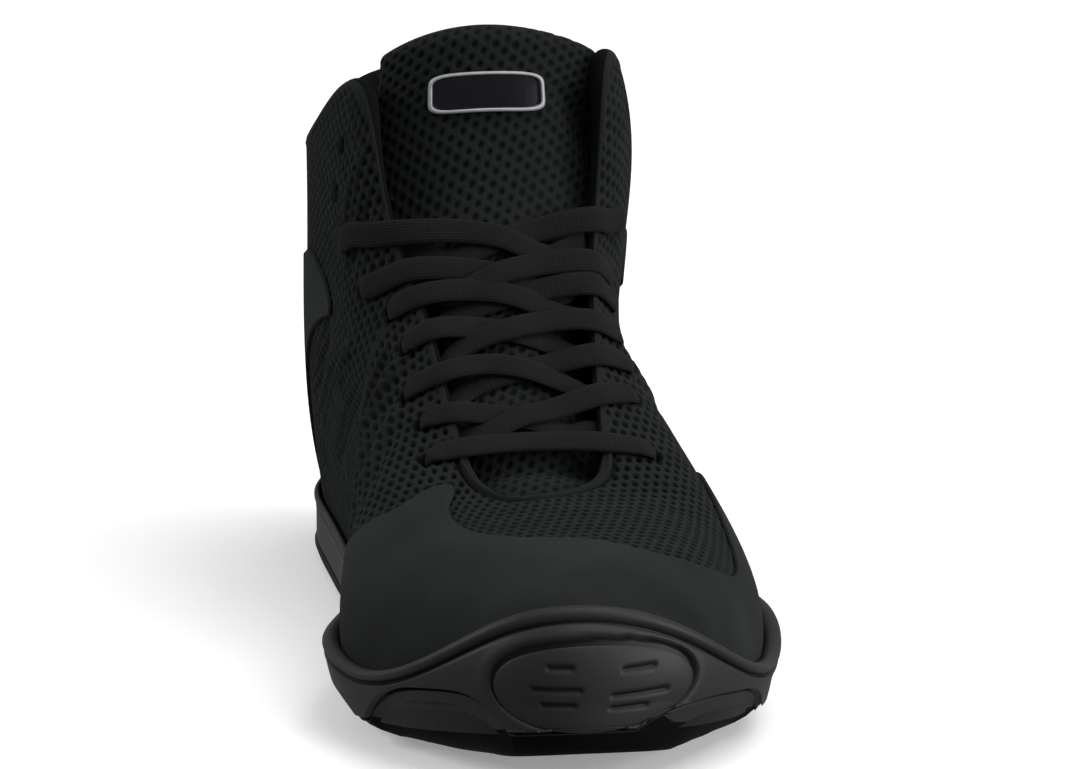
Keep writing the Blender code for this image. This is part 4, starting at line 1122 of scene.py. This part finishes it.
def makeTongue():
    # Padded sheet: rounded loops round it, carried up its rows and drawn together over its top.
    along, around = tongue["steps"]
    wide, deep = roundedLoop(tongue["power"], tongue["loopHalf"], around, tongue["frontShare"])
    top = len(tongueTable) - 1.0
    turn = np.linspace(0.0, np.pi / 2, tongue["topRows"] + 1)[1:]
    row = np.concatenate([np.linspace(0.0, top, along), np.full(tongue["topRows"], top)])[:, None]
    thin = np.concatenate([np.ones(along), np.maximum(tongue["topThin"], np.cos(turn))])[:, None]
    narrow = np.concatenate([np.ones(along), 1 - tongue["topNarrow"] * (1 - np.cos(turn)) ** 1.5])[:, None]
    rise = np.concatenate([np.zeros(along), tongue["top"] * np.sin(turn)])[:, None]
    thick = openSpline(tongueTable, row + 0 * wide)[..., 4]
    highRow, highAcross, lowRow, lowAcross = tongue["fold"]
    foldAt = lowAcross + (highAcross - lowAcross) * (row - lowRow) / (highRow - lowRow)
    beyond = smoothStep(0.0, 0.24, wide - foldAt) * smoothStep(lowRow - 0.6, lowRow, row)
    fold = tongue["foldDepth"] * beyond * (1 - smoothStep(highRow - 0.6, highRow + 0.25, row))
    dipRow, dipWidth, dipDepth = tongue["dip"]
    fold = fold + dipDepth * bell(row - dipRow, dipWidth) * smoothStep(1.0, 0.7, np.abs(wide))
    lift = (deep * thin - 1) * thick / 2 - fold * np.maximum(deep, 0.0)
    points = tonguePoint(row + 0 * wide, wide + 0 * row, lift)
    points[..., 1] *= narrow
    points[..., 2] += rise * (1 - tongue["topFall"] * wide**2)
    roundWay = np.roll(points, -1, axis=1) - np.roll(points, 1, axis=1)
    normal = unit(np.cross(roundWay, np.gradient(points, axis=0)))
    front = np.argmin(np.abs(wide) - deep)
    normal *= np.sign(normal[along // 2, front, 0])
    steps = np.linalg.norm(np.diff(points, axis=1), axis=-1)
    u = np.concatenate([np.zeros((len(row), 1)), np.cumsum(steps, axis=1)], axis=1)
    u = u - u[:, front:front + 1]
    climb = np.linalg.norm(np.diff(points[:, front], axis=0), axis=1)
    v = np.concatenate([[0.0], np.cumsum(climb)])[:, None] + 0 * u
    facing = np.sign(wide[front + 5] - wide[front])
    cells = cellField(facing * u, v, tongue["turn"]) * smoothStep(-0.5, 0.2, deep)
    cells *= tongue["cellDepth"] * (1 - smoothStep(0.90, 0.96, wide) * smoothStep(0.7, 0.4, deep))
    points = points - normal * (weave["depth"] * cells)[..., None]
    collarSide = (wide > 0.93) & (deep < 0.5)
    back = np.tile((deep < -0.3) | collarSide, len(row) - 1)
    # The cells also carry painted shade: the hole value darkens the tongue's open cells.
    piece = makePiece("tonguePad", points, tubeFaces(*cells.shape), [airMesh, lining],
                      ["tongue"], {"hole": cells}, None, np.concatenate([back, [False, False]]))


makeTongue()

# Badge on the tongue: a blank label with rounded corners and a narrow pale edge, each point of which
# lies so far in from the outline and so far above the tongue
badge = {
    "half": (13.8, 5.2), "row": 6.36, "across": -0.03, "power": 6.0, "perUnit": (25.4, 19.0),
    "low": 0.2, "high": 1.4,
    "edge": ((0.80, 1.42), (0.72, 1.66), (0.52, 1.76), (0.28, 1.70), (0.08, 1.50), (0.0, 1.2), (0.0, 0.2)),
    "dome": 0.2, "steps": (14, 200),
}


def makeBadge():
    # Rounded loops set on the tongue: from the middle of a low dome out to the edge, over it and back below.
    rings, around = badge["steps"]
    wide, tall = roundedLoop(badge["power"], badge["half"], around)
    share = np.linspace(0.04, 1.0, rings)
    inset = badge["edge"][0][0]
    face = np.stack([share, np.full(rings, inset), badge["high"] + badge["dome"] * (1 - share**2)], axis=-1)
    edge = np.array([(1.0, *place) for place in badge["edge"]])
    below = np.stack([share[::-1], np.zeros(rings), np.full(rings, badge["low"])], axis=-1)[1:]
    share, inset, lift = np.concatenate([face, edge[1:], below]).T[:, :, None]
    across = badge["across"] + share * (badge["half"][0] - inset) * wide / badge["perUnit"][0]
    row = badge["row"] + share * (badge["half"][1] - inset) * tall / badge["perUnit"][1]
    points = tonguePoint(row, across, lift + 0 * row)
    count = len(points)
    onEdge = np.repeat(np.arange(count - 1) >= rings - 1, around)
    makePiece("tongueBadge", points, tubeFaces(count, around), [badgeFace, badgeRim],
              ["tongue_badge"], faceMaterial=np.concatenate([onEdge, [False, True]]))


makeBadge()


# Lace: one flat woven lace, laced in crossings above a straight bar
lace = {
    "width": 6.3, "thick": 1.5, "profile": 14, "step": 0.3, "ribPitch": 1.3, "ribDepth": 0.05,
    "overEyestay": 0.25, "below": (0.75, 1.05), "slope": 0.30, "tongueLift": 0.35, "barLift": 1.2,
    "dive": ((2.4, 0.0, 0.1, 0.92), (0.9, -0.5, 0.35, 0.72), (0.1, -2.0, 0.7, 0.55),
             (0.0, -5.0, 0.95, 0.45)),
    "tuck": ((0.5, 0.0, 1.0), (-5.0, 0.2, 1.0), (-9.0, 0.4, 0.9)),   # up, in, share of the width
    "crossings": (2.15, 2.50, 3.12, 3.60, 4.00, 4.25, 4.63),   # tongue row of each lace row's middle
}


def mouthPoint(rib, lift):
    top = np.ones(np.shape(rib))
    outwards, upWay = ribFrame(rib, top)
    return ribPoint(rib, top) + outwards * lift, outwards, upWay


def overEnd(row, side, near):
    # Keys from a point over the tongue, by the shortest way across the throat's edge, to an eyelet and
    # down its hole.
    over = lace["thick"] / 2 + lace["overEyestay"]
    rib, share = eyeletPlace(row, side)
    normal, _ = ribFrame(rib, share)
    hole = ribPoint(rib, share)
    middleRib = throatRib(row, side)
    ribs = np.linspace(middleRib - 1.2, middleRib + 1.2, 241)
    edges, edgeNormals, _ = mouthPoint(ribs, over)
    length = np.linalg.norm(edges - near, axis=-1) + np.linalg.norm(edges - hole - normal * over, axis=-1)
    best = np.argmin(length)
    keys = [np.concatenate([edges[best], edgeNormals[best], [1.0]])]
    for step in (0.3, 0.6):
        at = np.array(ribs[best] + (rib - ribs[best]) * step)
        high = np.array(1.0 + (share - 1.0) * step)
        keys.append(np.concatenate([upperPoint(at, high, over), ribFrame(at, high)[0], [1.0]]))
    way = edges[best] - hole
    way = unit(way - normal * (way @ normal))
    for reachOver, lift, lean, gather in lace["dive"]:
        face = unit(normal * (1 - lean) - way * lean)
        keys.append(np.concatenate([hole + way * reachOver + normal * (over + lift), face, [gather]]))
    return keys


def underEnd(row, side):
    # Keys from the tongue's side in under the throat edge, where the lace is lost to view.
    rib = np.array(throatRib(row, side))
    sink = wallThickness(rib, np.array(1.0)) + lace["thick"] / 2 + 0.15
    edge, edgeNormal, edgeUp = mouthPoint(rib, -sink)
    return [np.concatenate([edge + edgeUp * up - edgeNormal * inwards, edgeNormal, [gather]])
            for up, inwards, gather in lace["tuck"]]


def tongueKey(row, across, lift):  # key above the tongue, facing as the tongue does there
    row, across = np.array(row), np.array(across)
    roundWay = tonguePoint(row, across + 0.02, 0.0) - tonguePoint(row, across - 0.02, 0.0)
    upWay = tonguePoint(row + 0.02, across, 0.0) - tonguePoint(row - 0.02, across, 0.0)
    normal = unit(np.cross(roundWay, upWay))
    point = tonguePoint(row, across, lift + lace["thick"] / 2)
    return np.concatenate([point, normal * np.sign(normal[0]), [1.0]])


def crossingKeys(middle, side, high):  # from the side the lace comes out at, over the tongue's middle
    keys = []
    for reachOver in (-0.5, 0.0, 0.25):
        over = (lace["thick"] + 0.1) * high * bell(reachOver, 0.75)
        lift = lace["tongueLift"] + over + 0.3 * max(0.0, reachOver)
        keys.append(tongueKey(middle + lace["slope"] * reachOver, side * reachOver, lift))
    return keys


def ribbon(keys):
    # Flat loop carried along a smooth path: each ring is a rounded rectangle set in the path's own frame.
    keys = np.array(keys)
    length = np.linalg.norm(np.diff(keys[:, :3], axis=0), axis=1).sum()
    count = int(length / lace["step"])
    path = pathSpline(keys, count)
    way = unit(np.gradient(path[:, :3], axis=0))
    normal = path[:, 3:6]
    normal = unit(normal - way * np.sum(way * normal, axis=1, keepdims=True))
    side = np.cross(way, normal)
    turn = np.linspace(0.0, 2 * np.pi, lace["profile"], endpoint=False)
    wide = np.sign(np.cos(turn)) * np.abs(np.cos(turn)) ** 0.7
    deep = np.sign(np.sin(turn)) * np.abs(np.sin(turn)) ** 0.85
    distance = np.linspace(0.0, length, count)
    rib = lace["ribDepth"] * np.sin(distance * 2 * np.pi / lace["ribPitch"])
    width = (lace["width"] / 2 * np.clip(path[:, 6], 0.3, 1.05))[:, None] * wide
    thick = (lace["thick"] / 2 + rib)[:, None] * deep
    points = path[:, None, :3] + side[:, None] * width[..., None] + normal[:, None] * thick[..., None]
    uv = np.stack(np.broadcast_arrays(distance[:, None] / lace["width"], (wide[None] + 1) / 2), axis=-1)
    return points, uv


def makeLaceRow(name, strands, node):
    pointSets, uvSets, polygons, start = [], [], [], 0
    for keys in strands:
        points, uv = ribbon(keys)
        count, columns = points.shape[:2]
        polygons += [start + polygon for polygon in tubeFaces(count, columns)]
        start += count * columns
        pointSets.append(points.reshape(-1, 3))
        uvSets.append(uv.reshape(-1, 2))
    makePiece(name, np.concatenate(pointSets), polygons, [laceCotton], [node],
              uv=np.concatenate(uvSets))


barLift = lace["tongueLift"] + lace["barLift"]
barKeys = [tongueKey(lace["crossings"][0], across, barLift) for across in (-0.25, 0.25)]
barEnds = overEnd(0, -1, barKeys[0][:3])[::-1], overEnd(0, 1, barKeys[1][:3])
makeLaceRow("laceRow1", [barEnds[0] + barKeys + barEnds[1]], "lace_row_1")
for row in range(1, len(lace["crossings"])):
    strands = []
    for side in (1, -1):
        high = 1.0 if side == (1 if row % 2 else -1) else 0.0   # which strand lies on top
        keys = crossingKeys(lace["crossings"][row], side, high)
        below = row - lace["below"][min(row, 2) - 1]
        strands.append(underEnd(below, -side)[::-1] + keys + overEnd(row, side, keys[-1][:3]))
    makeLaceRow(f"laceRow{row + 1}", strands, f"lace_row_{row + 1}")


# Stage, light and camera
stage = {"floor": 0.90, "floorGlow": 0.26, "world": 0.33, "size": 40.0}
view = {
    "azimuth": -9.5, "elevation": 12.5, "distance": 1.9, "pixelsPerMetre": 4210.0, "frameWidth": 1080,
    "anchor": (199.0, -1.0, 50.0), "anchorPixel": (539.0, 495.5), "frameMiddle": (540.0, 384.5),
}


def makeStage():
    size = stage["size"]
    corners = np.array([(-size, -size, 0), (size, -size, 0), (size, size, 0), (-size, size, 0)]) / 2
    floorMesh = bpy.data.meshes.new("paleFloor")
    floorMesh.from_pydata(corners.tolist(), [], [(0, 1, 2, 3)])
    floor = bpy.data.objects.new("paleFloor", floorMesh)
    paint = bpy.data.materials.new("floorPaint")
    paint.use_nodes = True
    shader = paint.node_tree.nodes["Principled BSDF"]
    shader.inputs["Base Color"].default_value = (stage["floor"],) * 3 + (1.0,)
    shader.inputs["Roughness"].default_value = 0.9
    shader.inputs["Emission Color"].default_value = (1.0, 1.0, 1.0, 1.0)
    shader.inputs["Emission Strength"].default_value = stage["floorGlow"]
    floorMesh.materials.append(paint)
    bpy.context.scene.collection.objects.link(floor)
    floor.visible_diffuse = False
    floor.visible_glossy = False


def makeLights():
    world = bpy.data.worlds.new("studio")
    world.use_nodes = True
    world.node_tree.nodes["Background"].inputs["Color"].default_value = (1.0, 1.0, 1.0, 1.0)
    world.node_tree.nodes["Background"].inputs["Strength"].default_value = stage["world"]
    bpy.context.scene.world = world
    lamps = (  # name, place, what it faces, width, power
        ("softboxTop", (0.8, -0.6, 2.1), (0.0, 0.0, 0.05), 2.0, 40.0),
        ("softboxRight", (1.8, -1.0, 0.4), (0.0, -0.05, 0.04), 1.1, 34.0),
        ("softboxLeft", (-1.8, 0.3, 1.1), (0.0, -0.05, 0.10), 0.8, 18.0),
    )
    for name, place, target, width, power in lamps:
        light = bpy.data.lights.new(name, "AREA")
        light.size = width
        light.energy = power
        lamp = bpy.data.objects.new(name, light)
        aim(lamp, np.array(place), np.array(target))
        bpy.context.scene.collection.objects.link(lamp)


def aim(thing, place, target):  # set a camera or lamp at a place, looking at a target
    away = unit(place - target)
    right = unit(np.cross((0.0, 0.0, 1.0), away))
    matrix = np.eye(4)
    matrix[:3, 0], matrix[:3, 1], matrix[:3, 2], matrix[:3, 3] = right, np.cross(away, right), away, place
    thing.matrix_world = Matrix(matrix.tolist())


def makeCamera():
    azimuth, elevation = np.radians(view["azimuth"]), np.radians(view["elevation"])
    level = np.array([np.sin(azimuth), -np.cos(azimuth), 0.0])
    away = level * np.cos(elevation) + np.array([0.0, 0.0, np.sin(elevation)])
    right = np.array([np.cos(azimuth), np.sin(azimuth), 0.0])
    up = np.cross(away, right)
    anchor = toModel(np.array(view["anchor"]))
    shift = (np.array(view["frameMiddle"]) - np.array(view["anchorPixel"])) / view["pixelsPerMetre"]
    target = anchor + right * shift[0] - up * shift[1]
    data = bpy.data.cameras.new("photoCamera")
    data.sensor_width = 36.0
    data.lens = view["pixelsPerMetre"] * view["distance"] / view["frameWidth"] * data.sensor_width
    camera = bpy.data.objects.new("photoCamera", data)
    aim(camera, anchor + away * view["distance"], target)
    bpy.context.scene.collection.objects.link(camera)
    bpy.context.scene.camera = camera


makeStage()
makeLights()
makeCamera()
bpy.context.scene.view_settings.view_transform = "Standard"
print("stage, light and camera set")
